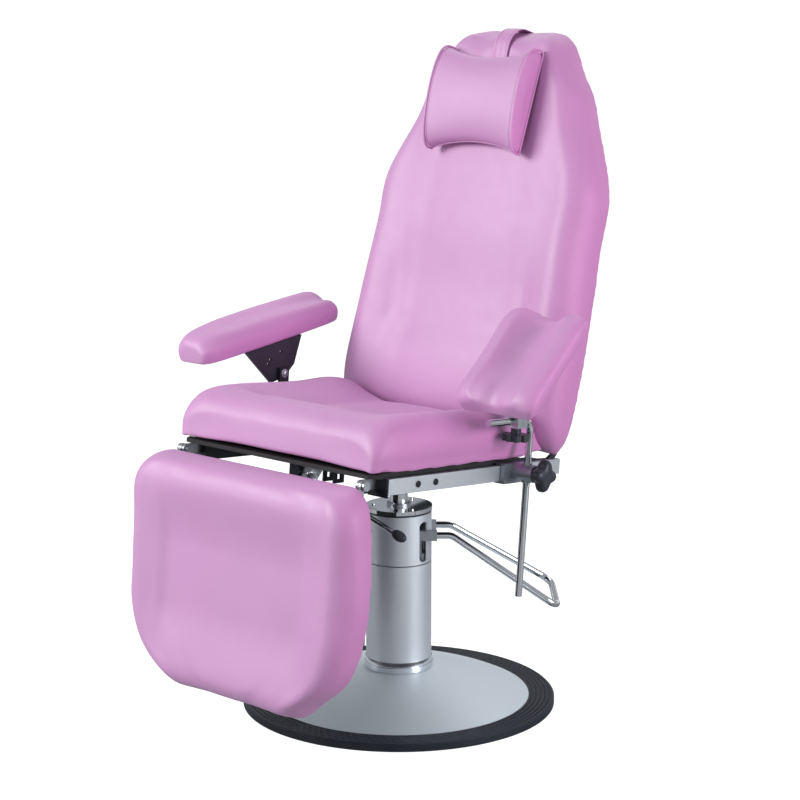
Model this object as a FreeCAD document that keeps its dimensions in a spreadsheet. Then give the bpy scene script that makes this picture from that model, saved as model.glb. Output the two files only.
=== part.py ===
import FreeCAD, Part
import math
import os
import re
import Sketcher

os.makedirs("parts", exist_ok=True)
V = FreeCAD.Vector
doc = FreeCAD.newDocument("phlebotomy_chair")

# Driving dimensions in millimetres and degrees.
# The chair faces -Y, the sitter's left is +X and the floor is z = 0 on the column axis.
sizes = {
    # round base
    "ring_radius": 320,
    "ring_inner": 250,
    "ring_height": 16,
    "ring_chamfer": 3,
    "ring_ledge": 11.5,
    "groove_first": 9,
    "groove_step": 9,
    "groove_radius": 2.2,
    "plate_lift": 2,
    "plate_thick": 8,
    "flange_radius": 95,
    "flange_thick": 12,
    "dome_radius": 268,
    "dome_edge": 15,
    "dome_top": 74,
    "dome_sheet": 3,
    "part_gap": 0.5,
    # column
    "column_radius": 67,
    "shroud_wall": 2.5,
    "split_drop": 52,
    "shroud_seam": 2,
    "foot_flare": 3,
    "foot_step": 11,
    "cap_rise": 62,
    "cap_thick": 8,
    "cap_flare": 1.2,
    "seal_height": 4,
    "screw_radius": 4.5,
    "screw_height": 2.4,
    "screw_circle": 52,
    "run_fit": 0.05,
    # lifting ram and pump
    "ram_radius": 18.5,
    "lift_travel": 160,
    "piston_height": 30,
    "guide_wall": 6,
    "guide_height": 22,
    "guide_stand": 5,
    "tank_radius": 46,
    "tank_bore": 24,
    "tank_drop": 60,
    "ram_show": 40,
    "hub_length": 37,
    "hub_radius": 38,
    "spigot_radius": 15,
    "spigot_land": 7,
    "plunger_radius": 6,
    "plunger_reach": 50,
    "plunger_length": 42,
    "pump_block_height": 28,
    # foot pedal
    "pedal_turn": 42,
    "pedal_pivot_reach": 32,
    "pedal_pivot_height": 350,
    "pedal_shaft_radius": 9,
    "pedal_arm_spread": 43.5,
    "pedal_arm_width": 13,
    "pedal_arm_height": 20,
    "pedal_arm_rise": 8,
    "pedal_arm_reach": 77,
    "slot_width": 18,
    "slot_below": 47,
    "slot_above": 36,
    "loop_radius": 7,
    "loop_knee_reach": 107,
    "loop_end_reach": 318,
    "loop_drop": 126,
    "loop_end_half": 99,
    "loop_bend": 24,
    # seat frame, measured from the top of the rails
    "seat_height": 532,
    "seat_tilt": 5.24,
    "rail_outer": 264,
    "rail_thick": 10,
    "rail_height": 30,
    "rail_front": -322,
    "rail_rear": 191,
    "rail_gap": 8,
    "tube_width": 30,
    "tube_height": 35,
    "tube_rear": 150,
    "tube_wall": 2.5,
    "end_plate": 4,
    "cross_offset": 100,
    "cross_width": 30,
    "mount_half": 55,
    "mount_length": 240,
    "mount_thick": 8,
    "rail_bolt_radius": 6.5,
    "rail_bolt_front": -240,
    "rail_bolt_step": 50,
    "rail_bolt_rear": 135,
    "board_front": -363,
    "board_rear": 84,
    "board_thick": 8,
    "board_lip": 30,
    "board_inset": 5,
    "board_corner": 22,
    # cushions: one measure for the rounding of every soft edge
    "soft_round": 10,
    # seat cushion
    "seat_half": 271,
    "seat_length": 500,
    "seat_roll": 110,
    "seat_bolster": 107,
    "seat_middle": 76,
    # leg rest
    "leg_hinge_y": -366,
    "leg_hinge_z": -12,
    "hinge_eye": 10,
    "hinge_plate": 6,
    "hinge_pin_radius": 5,
    "hinge_inner": 230,
    "hinge_side_gap": 1.5,
    "hinge_strap": 14,
    "leaf_length": 95,
    "leg_half": 296,
    "leg_top": 4,
    "leg_taper": 288,
    "leg_length": 447,
    "leg_foot_half": 178,
    "leg_thick": 73,
    "leg_sink": 14,
    "leg_roll": 90,
    "leg_board_rear": -14,
    "leg_board_thick": 12,
    "leg_board_inset": 16,
    # backrest
    "back_hinge_y": 178,
    "back_hinge_z": -12,
    "back_recline": 16.3,
    "back_low_half": 289,
    "back_shoulder_half": 270,
    "back_shoulder": 568,
    "back_top_half": 118,
    "back_top": 868,
    "back_bottom": 20,
    "back_bolster": 96,
    "back_middle": 80,
    "back_panel_thick": 12,
    "back_panel_inset": 14,
    "back_arm_height": 190,
    "back_arm_depth": 22,
    # recline linkage
    "link_x": 75,
    "link_crank": 80,
    "link_angle": 50,
    "link_rod_radius": 6,
    "link_eye": 11,
    "link_pin_radius": 5,
    "link_width": 11,
    "link_slack": 0.35,
    "crank_plate": 6,
    "crank_top": 32,
    "crank_foot": 115,
    "bar_front": 28,
    "bar_rear": 54,
    "bar_low": 42,
    "bar_high": 66,
    "bar_weld": 4,
    "spring_x": -80,
    "spring_crank": 52,
    "spring_angle": 35,
    "spring_radius": 12,
    "spring_barrel_length": 160,
    "spring_wall": 2.5,
    "spring_rod_radius": 5,
    "spring_span": 310,
    "spring_pin_radius": 4,
    "spring_neck": 16,
    "hanger_slot_half": 4.9,
    "hanger_slot_drop": 9.8,
    "hanger_cheek": 4,
    # release lever
    "lever_x": 63,
    "lever_y": -327,
    "lever_z": -26,
    "lever_drop": 17,
    "lever_length": 240,
    "lever_radius": 4.5,
    "lever_eye": 9,
    "lever_eye_width": 8,
    "knob_long": 17,
    "knob_round": 10,
    # head pillow and strap
    "pillow_half": 119,
    "pillow_height": 216,
    "pillow_depth": 70,
    "pillow_centre": 706,
    "strap_width": 42,
    "strap_thick": 2,
    "strap_gap": 1.5,
    "strap_bend": 48,
    "strap_rear_bend": 14,
    # armrest on the sitter's right
    "arm_pivot_y": -49,
    "arm_pivot_z": 116,
    "arm_pitch": 12.1,
    "arm_support_x": -284,
    "arm_support_thick": 6,
    "arm_plate_gap": 2,
    "arm_plate_low": 12,
    "arm_plate_heel": 35,
    "arm_plate_toe": 3,
    "arm_knee_y": 38,
    "arm_knee_z": 10,
    "arm_plate_front": 95,
    "arm_plate_rear": 68,
    "arm_foot_half": 26,
    "arm_upright_half": 13,
    "arm_upright_rise": 11,
    "arm_pin_radius": 6,
    "arm_pad_base": 66,
    "arm_pad_front": -202,
    "arm_pad_rear": 200,
    "arm_pad_width": 104,
    "arm_pad_thick": 62,
    "arm_pad_inner": -292,
    "index_radius": 46,
    "index_hole": 3.5,
    # arm tray on the sitter's left
    "clamp_y": 40,
    "clamp_half": 38,
    "clamp_slack": 0.6,
    "clamp_plate": 10,
    "clamp_lip": 4,
    "clamp_hook": 6,
    "post_x": 300,
    "post_radius": 7,
    "post_low": -256,
    "post_bend_z": 94,
    "post_bend": 22,
    "post_front": -90,
    "bush_wall": 2.45,
    "boss_radius": 17,
    "boss_end": 322,
    "boss_z": -11,
    "star_stem": 5,
    "star_radius": 20,
    "star_lobe": 13,
    "star_depth": 24,
    "tray_clamp_y": -3,
    "tray_clamp_half": 15,
    "tray_clamp_wall": 6,
    "tray_pivot_z": 155,
    "tray_eye": 11,
    "tray_eye_half": 8,
    "tray_pin_radius": 5,
    "tray_pitch": 46.8,
    "tray_offset": 26,
    "tray_half": 95,
    "tray_front": -96,
    "tray_rear": 144,
    "tray_base": 49,
    "tray_board_thick": 8,
    "tray_lip": 36,
    "tray_valley": 10,
    "tray_knob_radius": 20,
    "tray_knob_lobe": 6,
    "tray_knob_z": 62,
    "tray_knob_thick": 14,
    "tray_stem": 4,
}
sheet = doc.addObject("Spreadsheet::Sheet", "dims")
for row, (name, value) in enumerate(sizes.items(), start=1):
    sheet.set("A%d" % row, name)
    sheet.set("B%d" % row, str(value))
    sheet.setAlias("B%d" % row, name)
doc.recompute()


def size(name):
    return float(sheet.get(name))


def bind(piece, prop, text):
    piece.setExpression(prop, re.sub(r"[a-z]+(?:_[a-z]+)+", r"dims.\g<0>", str(text)))


def block(name, x, y, z):
    piece = doc.addObject("Part::Box", name)
    for prop, axis, span in zip(("Length", "Width", "Height"), "xyz", (x, y, z)):
        bind(piece, prop, "(%s) - (%s)" % (span[1], span[0]))
        bind(piece, ".Placement.Base." + axis, span[0])
    return piece


turns = {
    "x": FreeCAD.Rotation(V(0, 1, 0), 90),
    "y": FreeCAD.Rotation(V(-1, 0, 0), 90),
    "z": FreeCAD.Rotation(),
}


def rod(name, axis, radius, span, at):
    piece = doc.addObject("Part::Cylinder", name)
    piece.Placement = FreeCAD.Placement(V(), turns[axis])
    bind(piece, "Radius", radius)
    bind(piece, "Height", "(%s) - (%s)" % (span[1], span[0]))
    bind(piece, ".Placement.Base." + axis, span[0])
    for letter, text in zip([c for c in "xyz" if c != axis], at):
        bind(piece, ".Placement.Base." + letter, text)
    return piece


def fused(name, *pieces):
    piece = doc.addObject("Part::MultiFuse", name)
    piece.Shapes = list(pieces)
    piece.Refine = True
    return piece


def grouped(name, *pieces):
    piece = doc.addObject("Part::Compound", name)
    piece.Links = list(pieces)
    return piece


def cut(name, base, *tools):
    piece = doc.addObject("Part::Cut", name)
    piece.Base = base
    piece.Tool = tools[0] if len(tools) == 1 else fused(name + "_tools", *tools)
    return piece


# A flat plate cut to an outline of straight edges, with round holes.
def plate(name, plane, start, thick, outline, holes=()):
    body = doc.addObject("PartDesign::Body", name)
    sketch = body.newObject("Sketcher::SketchObject", name + "_outline")
    support = [f for f in body.Origin.OriginFeatures if f.Role == plane][0]
    sketch.AttachmentSupport = [(support, "")]
    sketch.MapMode = "FlatFace"
    bind(sketch, ".AttachmentOffset.Base.z", start)
    corners = []
    for i in range(len(outline)):
        turn = 2 * math.pi * i / len(outline)
        corners.append(V(90 * math.cos(turn), 90 * math.sin(turn), 0))
    for i, corner in enumerate(corners):
        sketch.addGeometry(Part.LineSegment(corner, corners[(i + 1) % len(corners)]))
    for i in range(len(corners)):
        sketch.addConstraint(Sketcher.Constraint("Coincident", i, 2, (i + 1) % len(corners), 1))
    for i, point in enumerate(outline):
        for kind, now, text in zip(("DistanceX", "DistanceY"), (corners[i].x, corners[i].y), point):
            rule = sketch.addConstraint(Sketcher.Constraint(kind, -1, 1, i, 1, now))
            bind(sketch, "Constraints[%d]" % rule, text)
    for radius, across, upward in holes:
        ring = sketch.addGeometry(Part.Circle(V(1, 1, 0), V(0, 0, 1), 1))
        for kind, text in (("DistanceX", across), ("DistanceY", upward)):
            rule = sketch.addConstraint(Sketcher.Constraint(kind, -1, 1, ring, 3, 1))
            bind(sketch, "Constraints[%d]" % rule, text)
        rule = sketch.addConstraint(Sketcher.Constraint("Radius", ring, 1))
        bind(sketch, "Constraints[%d]" % rule, radius)
    pad = body.newObject("PartDesign::Pad", name + "_pad")
    pad.Profile = sketch
    bind(pad, "Length", thick)
    return body


# Frames of the tilted groups: turning axis, angle and origin.
def seat_point(x, y, z):
    across = "(%s) * cos(seat_tilt) + (%s) * sin(seat_tilt)" % (y, z)
    upward = "seat_height - (%s) * sin(seat_tilt) + (%s) * cos(seat_tilt)" % (y, z)
    return (x, across, upward)


frames = {
    "seat": (V(-1, 0, 0), "seat_tilt", seat_point("0", "0", "0")),
    "leg": (V(-1, 0, 0), "seat_tilt", seat_point("0", "leg_hinge_y", "leg_hinge_z")),
    "back": (V(-1, 0, 0), "back_recline", seat_point("0", "back_hinge_y", "back_hinge_z")),
    "crank": (V(-1, 0, 0), "seat_tilt", seat_point("0", "back_hinge_y", "back_hinge_z")),
    "arm": (V(1, 0, 0), "arm_pitch - seat_tilt", seat_point("0", "arm_pivot_y", "arm_pivot_z")),
    "tray": (V(1, 0, 0), "tray_pitch - seat_tilt", seat_point("post_x", "tray_clamp_y", "tray_pivot_z")),
    "pedal": (V(0, 0, 1), "pedal_turn", ("0", "0", "0")),
}
nodes = []


def place(piece, frame):
    axis, angle, origin = frames[frame]
    piece.Placement = FreeCAD.Placement(V(), FreeCAD.Rotation(axis, 10))
    for letter, text in zip("xyz", origin):
        bind(piece, ".Placement.Base." + letter, text)
    bind(piece, ".Placement.Rotation.Angle", angle)
    return piece


def node(label, piece, frame=None):
    if frame:
        if piece.TypeId in ("Part::Box", "Part::Cylinder"):
            piece = grouped(label + "_set", piece)
        place(piece, frame)
    piece.Label = label
    nodes.append(piece)
    return piece


# A round bar bent along straight runs joined by tangent arcs.
def bent_bar(name, points, radius, bend):
    edges = []
    start = points[0]
    for before, corner, after in zip(points, points[1:], points[2:]):
        back = (before - corner).normalize()
        ahead = (after - corner).normalize()
        half = back.getAngle(ahead) / 2
        reach = bend / math.tan(half)
        first = corner + back * reach
        last = corner + ahead * reach
        middle = (back + ahead).normalize()
        apex = corner + middle * (bend / math.sin(half) - bend)
        edges.append(Part.LineSegment(start, first).toShape())
        edges.append(Part.Arc(first, apex, last).toShape())
        start = last
    edges.append(Part.LineSegment(start, points[-1]).toShape())
    path = Part.Wire(edges)
    ring = Part.Wire(Part.makeCircle(radius, points[0], points[1] - points[0]))
    piece = doc.addObject("Part::Feature", name)
    piece.Shape = path.makePipeShell([ring], True, False)
    return piece


# A soft solid lofted through closed sections, each a list of (end point, point on the arc or None).
def soft_solid(name, sections):
    wires = []
    for section in sections:
        edges = []
        for (start, skip), (end, through) in zip(section, section[1:] + section[:1]):
            if through is None:
                edges.append(Part.LineSegment(start, end).toShape())
            else:
                edges.append(Part.Arc(start, through, end).toShape())
        wires.append(Part.Wire(edges))
    piece = doc.addObject("Part::Feature", name)
    piece.Shape = Part.makeLoft(wires, True, False)
    return piece


# Heights of the column follow the pedal pivot, and the hub divides what is left below the seat.
cap_top = "(pedal_pivot_height + cap_rise)"
tank_top = "(pedal_pivot_height - tank_drop)"
ram_foot = "(pedal_pivot_height - tank_drop - lift_travel - piston_height)"
shroud_split = "(pedal_pivot_height - split_drop)"
slot_low = "pedal_pivot_height - slot_below + slot_width / 2"
slot_high = "pedal_pivot_height + slot_above - slot_width / 2"
seat_under = "(seat_height - tube_height - mount_thick)"
hub_bottom = "(%s + (%s - %s) * ram_show / (ram_show + hub_length))" % (cap_top, seat_under, cap_top)
spigot_top = seat_under + " - spigot_land"
edge = size("soft_round")

# Round base: rubber floor ring, steel plate and domed cover
ring = rod("ring_disc", "z", "ring_radius", ("0", "ring_height - ring_chamfer"), ("0", "0"))
ring_top = doc.addObject("Part::Cone", "ring_top")
bind(ring_top, "Radius1", "ring_radius")
bind(ring_top, "Radius2", "ring_radius - ring_chamfer")
bind(ring_top, "Height", "ring_chamfer")
bind(ring_top, ".Placement.Base.z", "ring_height - ring_chamfer")
grooves = []
for i in range(5):
    groove = doc.addObject("Part::Torus", "ring_groove")
    bind(groove, "Radius1", "ring_radius - groove_first - %d * groove_step" % i)
    bind(groove, "Radius2", "groove_radius")
    bind(groove, ".Placement.Base.z", "ring_height")
    grooves.append(groove)
ring_hole = rod("ring_hole", "z", "ring_inner", ("-1", "ring_height + 1"), ("0", "0"))
ring_step = rod("ring_step", "z", "dome_radius + part_gap", ("ring_ledge", "ring_height + 1"), ("0", "0"))
node("floor_ring", cut("ring_body", fused("ring_blank", ring, ring_top), ring_hole, ring_step, *grooves))

base_disc = rod("base_disc", "z", "ring_inner - part_gap",
                ("plate_lift", "plate_lift + plate_thick"), ("0", "0"))
flange_top = "plate_lift + plate_thick + flange_thick"
flange = rod("flange", "z", "flange_radius", ("plate_lift + plate_thick", flange_top), ("0", "0"))
flange_bore = rod("flange_bore", "z", "tank_radius + part_gap",
                  ("plate_lift + plate_thick", flange_top), ("0", "0"))
node("base_plate", cut("base_body", fused("base_blank", base_disc, flange), flange_bore))

dome_centre = "((dome_top^2 + column_radius^2 - dome_edge^2 - dome_radius^2) / (2 * (dome_top - dome_edge)))"
dome_ball = doc.addObject("Part::Sphere", "dome_ball")
bind(dome_ball, "Radius", "sqrt((dome_top - %s)^2 + column_radius^2)" % dome_centre)
bind(dome_ball, ".Placement.Base.z", dome_centre)
dome_hollow = doc.addObject("Part::Sphere", "dome_hollow")
bind(dome_hollow, "Radius", "sqrt((dome_top - %s)^2 + column_radius^2) - dome_sheet" % dome_centre)
bind(dome_hollow, ".Placement.Base.z", dome_centre)
dome_trim = rod("dome_trim", "z", "dome_radius", ("dome_edge - dome_sheet", "dome_top + 20"), ("0", "0"))
dome_cap = doc.addObject("Part::Common", "dome_cap")
dome_cap.Base = dome_ball
dome_cap.Tool = dome_trim
dome_hole = rod("dome_hole", "z", "column_radius - shroud_wall - 2", ("0", "dome_top + 20"), ("0", "0"))
node("base_dome", cut("dome_body", dome_cap, dome_hollow, dome_hole))

# Column: chrome foot ring, two shrouds, cap and seal
foot_low = "dome_top + part_gap"
foot_wide = rod("foot_wide", "z", "column_radius + foot_flare",
                (foot_low, "dome_top + part_gap + foot_step"), ("0", "0"))
foot_narrow = rod("foot_narrow", "z", "column_radius + foot_flare / 2",
                  ("dome_top + part_gap + foot_step", "dome_top + part_gap + 2 * foot_step"), ("0", "0"))
foot_hole = rod("foot_hole", "z", "column_radius + part_gap",
                (foot_low, "dome_top + 3 * foot_step"), ("0", "0"))
node("foot_ring", cut("foot_body", fused("foot_blank", foot_wide, foot_narrow), foot_hole))

lower_top = shroud_split + " - shroud_seam / 2"
lower_out = rod("lower_out", "z", "column_radius", ("dome_top + part_gap", lower_top), ("0", "0"))
lower_in = rod("lower_in", "z", "column_radius - shroud_wall", ("dome_top", shroud_split), ("0", "0"))
node("lower_shroud", cut("lower_body", lower_out, lower_in))

upper_low = shroud_split + " + shroud_seam / 2"
cap_under = cap_top + " - cap_thick"
upper_top = cap_under + " - seal_height"
upper_out = rod("upper_out", "z", "column_radius", (upper_low, upper_top), ("0", "0"))
upper_in = rod("upper_in", "z", "column_radius - shroud_wall", (shroud_split, cap_top), ("0", "0"))
slots = []
for side in ("-", ""):
    middle = side + "pedal_arm_spread"
    wide = (middle + " - slot_width / 2", middle + " + slot_width / 2")
    slot = [block("slot", ("0", "column_radius + 10"), wide, (slot_low, slot_high))]
    for height in (slot_low, slot_high):
        slot.append(rod("slot_end", "x", "slot_width / 2", ("0", "column_radius + 10"), (middle, height)))
    slots.append(fused("slot_cut", *slot))
slot_pair = place(grouped("slot_pair", *slots), "pedal")
node("upper_shroud", cut("upper_body", upper_out, upper_in, slot_pair))

seal_out = rod("seal_out", "z", "column_radius - cap_flare", (upper_top, cap_under), ("0", "0"))
seal_in = rod("seal_in", "z", "column_radius - shroud_wall - 4", (upper_top, cap_top), ("0", "0"))
node("cap_seal", cut("seal_body", seal_out, seal_in))

cap_disc = rod("cap_disc", "z", "column_radius + cap_flare", (cap_under, cap_top), ("0", "0"))
cap_hole = rod("cap_hole", "z", "ram_radius + guide_wall", (cap_under + " - 1", cap_top + " + 1"), ("0", "0"))
node("column_cap", cut("cap_body", cap_disc, cap_hole))
screws = []
for i in range(3):
    turn = 222 + 120 * i
    screws.append(rod("cap_screw", "z", "screw_radius", (cap_top, cap_top + " + screw_height"),
                      ("screw_circle * cos(%d)" % turn, "screw_circle * sin(%d)" % turn)))
node("cap_screws", grouped("cap_screw_set", *screws))

# Hydraulic pump inside the column and the ram that it lifts
guide_span = (cap_top + " + guide_stand - guide_height", cap_top + " + guide_stand")
guide_out = rod("guide_out", "z", "ram_radius + guide_wall", guide_span, ("0", "0"))
guide_in = rod("guide_in", "z", "ram_radius + run_fit", guide_span, ("0", "0"))
node("ram_guide", cut("guide_body", guide_out, guide_in))

tank_out = rod("tank_out", "z", "tank_radius", ("plate_lift + plate_thick", tank_top), ("0", "0"))
tank_in = rod("tank_in", "z", "tank_bore", ("plate_lift + 3 * plate_thick", tank_top + " + 1"), ("0", "0"))
node("pump_tank", cut("tank_body", tank_out, tank_in))

ram_bar = rod("ram_bar", "z", "ram_radius", (ram_foot, hub_bottom), ("0", "0"))
ram_piston = rod("ram_piston", "z", "tank_bore - run_fit",
                 (ram_foot, ram_foot + " + piston_height"), ("0", "0"))
ram_spigot = rod("ram_spigot", "z", "spigot_radius", (hub_bottom, spigot_top), ("0", "0"))
node("ram", fused("ram_body", ram_bar, ram_piston, ram_spigot))

block_low = tank_top
block_top = tank_top + " + pump_block_height"
ear_half = "pedal_arm_spread - pedal_arm_width / 2 - 1.5"
pump_slab = block("pump_slab", ("ram_radius + 6", "plunger_reach + plunger_radius + 6"),
                  ("-(%s)" % ear_half, ear_half), (block_low, block_top))
pump_trim = rod("pump_trim", "z", "column_radius - shroud_wall - 3", (block_low, cap_top), ("0", "0"))
pump_round = doc.addObject("Part::Common", "pump_round")
pump_round.Base = pump_slab
pump_round.Tool = pump_trim
ears = []
for low, high in (("-(%s)" % ear_half, "-(%s) + 7" % ear_half), (ear_half + " - 7", ear_half)):
    ears.append(block("pump_ear", ("pedal_pivot_reach - 9", "pedal_pivot_reach + 14"), (low, high),
                      (block_top, "pedal_pivot_height + pedal_shaft_radius + 6")))
ear_bore = rod("ear_bore", "y", "pedal_shaft_radius + run_fit", ("-column_radius", "column_radius"),
               ("pedal_pivot_reach", "pedal_pivot_height"))
plunger_bore = rod("plunger_bore", "z", "plunger_radius + run_fit",
                   (block_low, block_top), ("plunger_reach", "0"))
node("pump_block", cut("pump_body", fused("pump_blank", pump_round, *ears), ear_bore, plunger_bore), "pedal")

finger_low = "pedal_pivot_height - 5"
node("pump_plunger", rod("plunger_bar", "z", "plunger_radius",
                         (finger_low + " - part_gap - plunger_length", finger_low + " - part_gap"),
                         ("plunger_reach", "0")), "pedal")

# Foot pedal: rocker shaft with two forged arms and a bent loop
arm_mid = "pedal_pivot_height + pedal_arm_rise"
rocker = [rod("rocker_shaft", "y", "pedal_shaft_radius",
              ("-pedal_arm_spread - pedal_arm_width / 2", "pedal_arm_spread + pedal_arm_width / 2"),
              ("pedal_pivot_reach", "pedal_pivot_height"))]
for side in ("-", ""):
    wide = (side + "pedal_arm_spread - pedal_arm_width / 2", side + "pedal_arm_spread + pedal_arm_width / 2")
    rocker.append(block("rocker_arm", ("pedal_pivot_reach", "pedal_arm_reach"), wide,
                        (arm_mid + " - pedal_arm_height / 2", arm_mid + " + pedal_arm_height / 2")))
    rocker.append(rod("rocker_eye", "y", "pedal_arm_height / 2", wide, ("pedal_pivot_reach", arm_mid)))
rocker.append(block("rocker_finger", ("pedal_pivot_reach", "plunger_reach + plunger_radius"), ("-8", "8"),
                    (finger_low, "pedal_pivot_height + 5")))
node("pedal_rocker", fused("rocker_body", *rocker), "pedal")

arm_level = size("pedal_pivot_height") + size("pedal_arm_rise")
loop_side = [
    V(size("pedal_arm_reach"), size("pedal_arm_spread"), arm_level),
    V(size("loop_knee_reach"), size("pedal_arm_spread"), arm_level),
    V(size("loop_end_reach"), size("loop_end_half"), size("pedal_pivot_height") - size("loop_drop")),
]
loop_other = [V(p.x, -p.y, p.z) for p in reversed(loop_side)]
loop_bar = bent_bar("loop_bar", loop_side + loop_other, size("loop_radius"), size("loop_bend"))
node("pedal_loop", loop_bar, "pedal")

# Swivel hub and welded seat frame
tilt_cut = place(grouped("tilt_cut", block("tilt_block", ("-200", "200"), ("-200", "200"),
                                           ("-tube_height - mount_thick", "100"))), "seat")
hub_out = rod("hub_out", "z", "hub_radius", (hub_bottom, "seat_height"), ("0", "0"))
hub_in = rod("hub_in", "z", "spigot_radius + run_fit", (hub_bottom, spigot_top + " + 1"), ("0", "0"))
node("swivel_hub", cut("hub_body", hub_out, hub_in, tilt_cut))
mount_slab = block("mount_slab", ("-mount_half", "mount_half"), ("-mount_length / 2", "mount_length / 2"),
                   ("-tube_height - mount_thick", "-tube_height"))
node("mount_plate", mount_slab, "seat")

tube_outer = "rail_outer - rail_thick - rail_gap"
tube_inner = "rail_outer - rail_thick - rail_gap - tube_width"
for label, sign in (("left", ""), ("right", "-")):
    edges = [sign + "(%s)" % tube_inner, sign + "(%s)" % tube_outer]
    hollow = [sign + "(%s + tube_wall)" % tube_inner, sign + "(%s - tube_wall)" % tube_outer]
    cover = [sign + "(%s)" % tube_inner, sign + "rail_outer"]
    rail = [sign + "(rail_outer - rail_thick)", sign + "rail_outer"]
    if sign:
        for span in (edges, hollow, cover, rail):
            span.reverse()
    tube_out = block(label + "_tube_out", edges, ("rail_front", "tube_rear"), ("-tube_height", "0"))
    tube_in = block(label + "_tube_in", hollow, ("rail_front - 1", "tube_rear + 1"),
                    ("-tube_height + tube_wall", "-tube_wall"))
    tube_end = block(label + "_tube_end", cover, ("rail_front - end_plate", "rail_front"),
                     ("-tube_height", "0"))
    tube = fused(label + "_tube_body", cut(label + "_tube_box", tube_out, tube_in), tube_end)
    node(label + "_side_tube", tube, "seat")
    rail_bar = block(label + "_rail_bar", rail, ("rail_front", "rail_rear"), ("-rail_height", "0"))
    node(label + "_rail", rail_bar, "seat")

cross = []
for middle in ("-cross_offset", "cross_offset"):
    span = (middle + " - cross_width / 2", middle + " + cross_width / 2")
    bore = (middle + " - cross_width / 2 + tube_wall", middle + " + cross_width / 2 - tube_wall")
    cross_out = block("cross_out", ("-(%s)" % tube_inner, tube_inner), span, ("-tube_height", "0"))
    cross_in = block("cross_in", ("-rail_outer", "rail_outer"), bore,
                     ("-tube_height + tube_wall", "-tube_wall"))
    cross.append(cut("cross_tube", cross_out, cross_in))
node("cross_tubes", grouped("cross_set", *cross), "seat")

rail_fixings = []
for sign in ("", "-"):
    for place_y in ("rail_bolt_front", "rail_bolt_front + rail_bolt_step", "rail_bolt_rear"):
        spacer = [sign + "(%s)" % tube_outer, sign + "(rail_outer - rail_thick)"]
        head = [sign + "rail_outer", sign + "(rail_outer + 1.5)"]
        socket = [sign + "(rail_outer + 0.5)", sign + "(rail_outer + 2)"]
        if sign:
            for span in (spacer, head, socket):
                span.reverse()
        at = (place_y, "-rail_height / 2")
        rail_fixings.append(rod("rail_spacer", "x", "rail_bolt_radius", spacer, at))
        rail_fixings.append(cut("rail_bolt", rod("rail_bolt_head", "x", "rail_bolt_radius", head, at),
                                rod("rail_bolt_socket", "x", "rail_bolt_radius / 2", socket, at)))
node("rail_bolts", grouped("rail_bolt_set", *rail_fixings), "seat")

lip_y = "board_front + board_lip"
lip_x = "rail_outer - board_inset"
nose_y = "board_front + board_inset"
node("seat_board", plate("seat_board_body", "XY_Plane", "0", "board_thick", [
    ("-rail_outer + board_corner", nose_y), ("rail_outer - board_corner", nose_y), (lip_x, lip_y),
    (tube_outer, lip_y),
    (tube_outer, "board_rear"), ("-(%s)" % tube_outer, "board_rear"), ("-(%s)" % tube_outer, lip_y),
    ("-(%s)" % lip_x, lip_y)]), "seat")


# Cushion section across the width: flat back, drawn-in sides, rolled bolsters and a crowned middle.
# Depth runs away from the back at level "base" along the given direction.
def padded_section(point, half, base, bolster, middle, roll):
    mid = half - roll
    right = [
        (point(half - 0.9 * edge, base), None),
        (point(half - 0.8 * edge, base + 0.72 * bolster), point(half, base + 0.4 * bolster)),
        (point(half - 0.62 * roll, base + bolster), point(half - 0.24 * roll, base + 0.94 * bolster)),
        (point(0.72 * mid, base + middle), point(mid, base + 0.42 * bolster + 0.58 * middle)),
    ]
    crown = point(0, base + middle + 0.04 * bolster)
    left = [
        (point(-0.72 * mid, base + middle), crown),
        (point(-(half - 0.62 * roll), base + bolster), point(-mid, base + 0.42 * bolster + 0.58 * middle)),
        (point(-(half - 0.8 * edge), base + 0.72 * bolster),
         point(-(half - 0.24 * roll), base + 0.94 * bolster)),
        (point(-(half - 0.9 * edge), base), point(-half, base + 0.4 * bolster)),
    ]
    return right + left


# Seat cushion with a waterfall front and a rear end that clears the backrest
seat_rows = []
front = size("board_front")
rear = front + size("seat_length")
seat_base = size("board_thick")
for y, narrow, share in ((front + 0.2 * edge, 2.2, 0.52), (front + 1.2 * edge, 1, 0.72),
                         (front + 3.4 * edge, 0.3, 0.9), (front + 7.5 * edge, 0, 1),
                         (front + 0.4 * (rear - front), 0, 1.02), (front + 0.66 * (rear - front), 0, 1.02),
                         (rear - 6.8 * edge, 0.1, 0.97), (rear - 4.4 * edge, 0.3, 0.84),
                         (rear - 2.6 * edge, 0.6, 0.56), (rear - 0.8 * edge, 1, 0.3),
                         (rear + 0.6 * edge, 1.6, 0.12)):
    seat_rows.append(padded_section(lambda x, z, y=y: V(x, y, z),
                                    size("seat_half") - narrow * edge, seat_base,
                                    share * (size("seat_bolster") - seat_base),
                                    share * (size("seat_middle") - seat_base), size("seat_roll")))
node("seat_cushion", soft_solid("seat_soft", seat_rows), "seat")

# Leg rest hinges, board and cushion
eye_inner = "hinge_inner"
eye_outer = "hinge_inner + hinge_plate"
leaf_inner = "hinge_inner + hinge_plate + hinge_side_gap"
leaf_outer = "hinge_inner + 2 * hinge_plate + hinge_side_gap"
pin_spans = ("hinge_inner - 4", "hinge_inner + 2 * hinge_plate + 2 * hinge_side_gap + 5")
pin_heads = ("hinge_inner + 2 * hinge_plate + 2 * hinge_side_gap", pin_spans[1])


def sided(sign, span):
    ends = [sign + "(%s)" % text for text in span]
    return ends[::-1] if sign else ends


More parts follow.
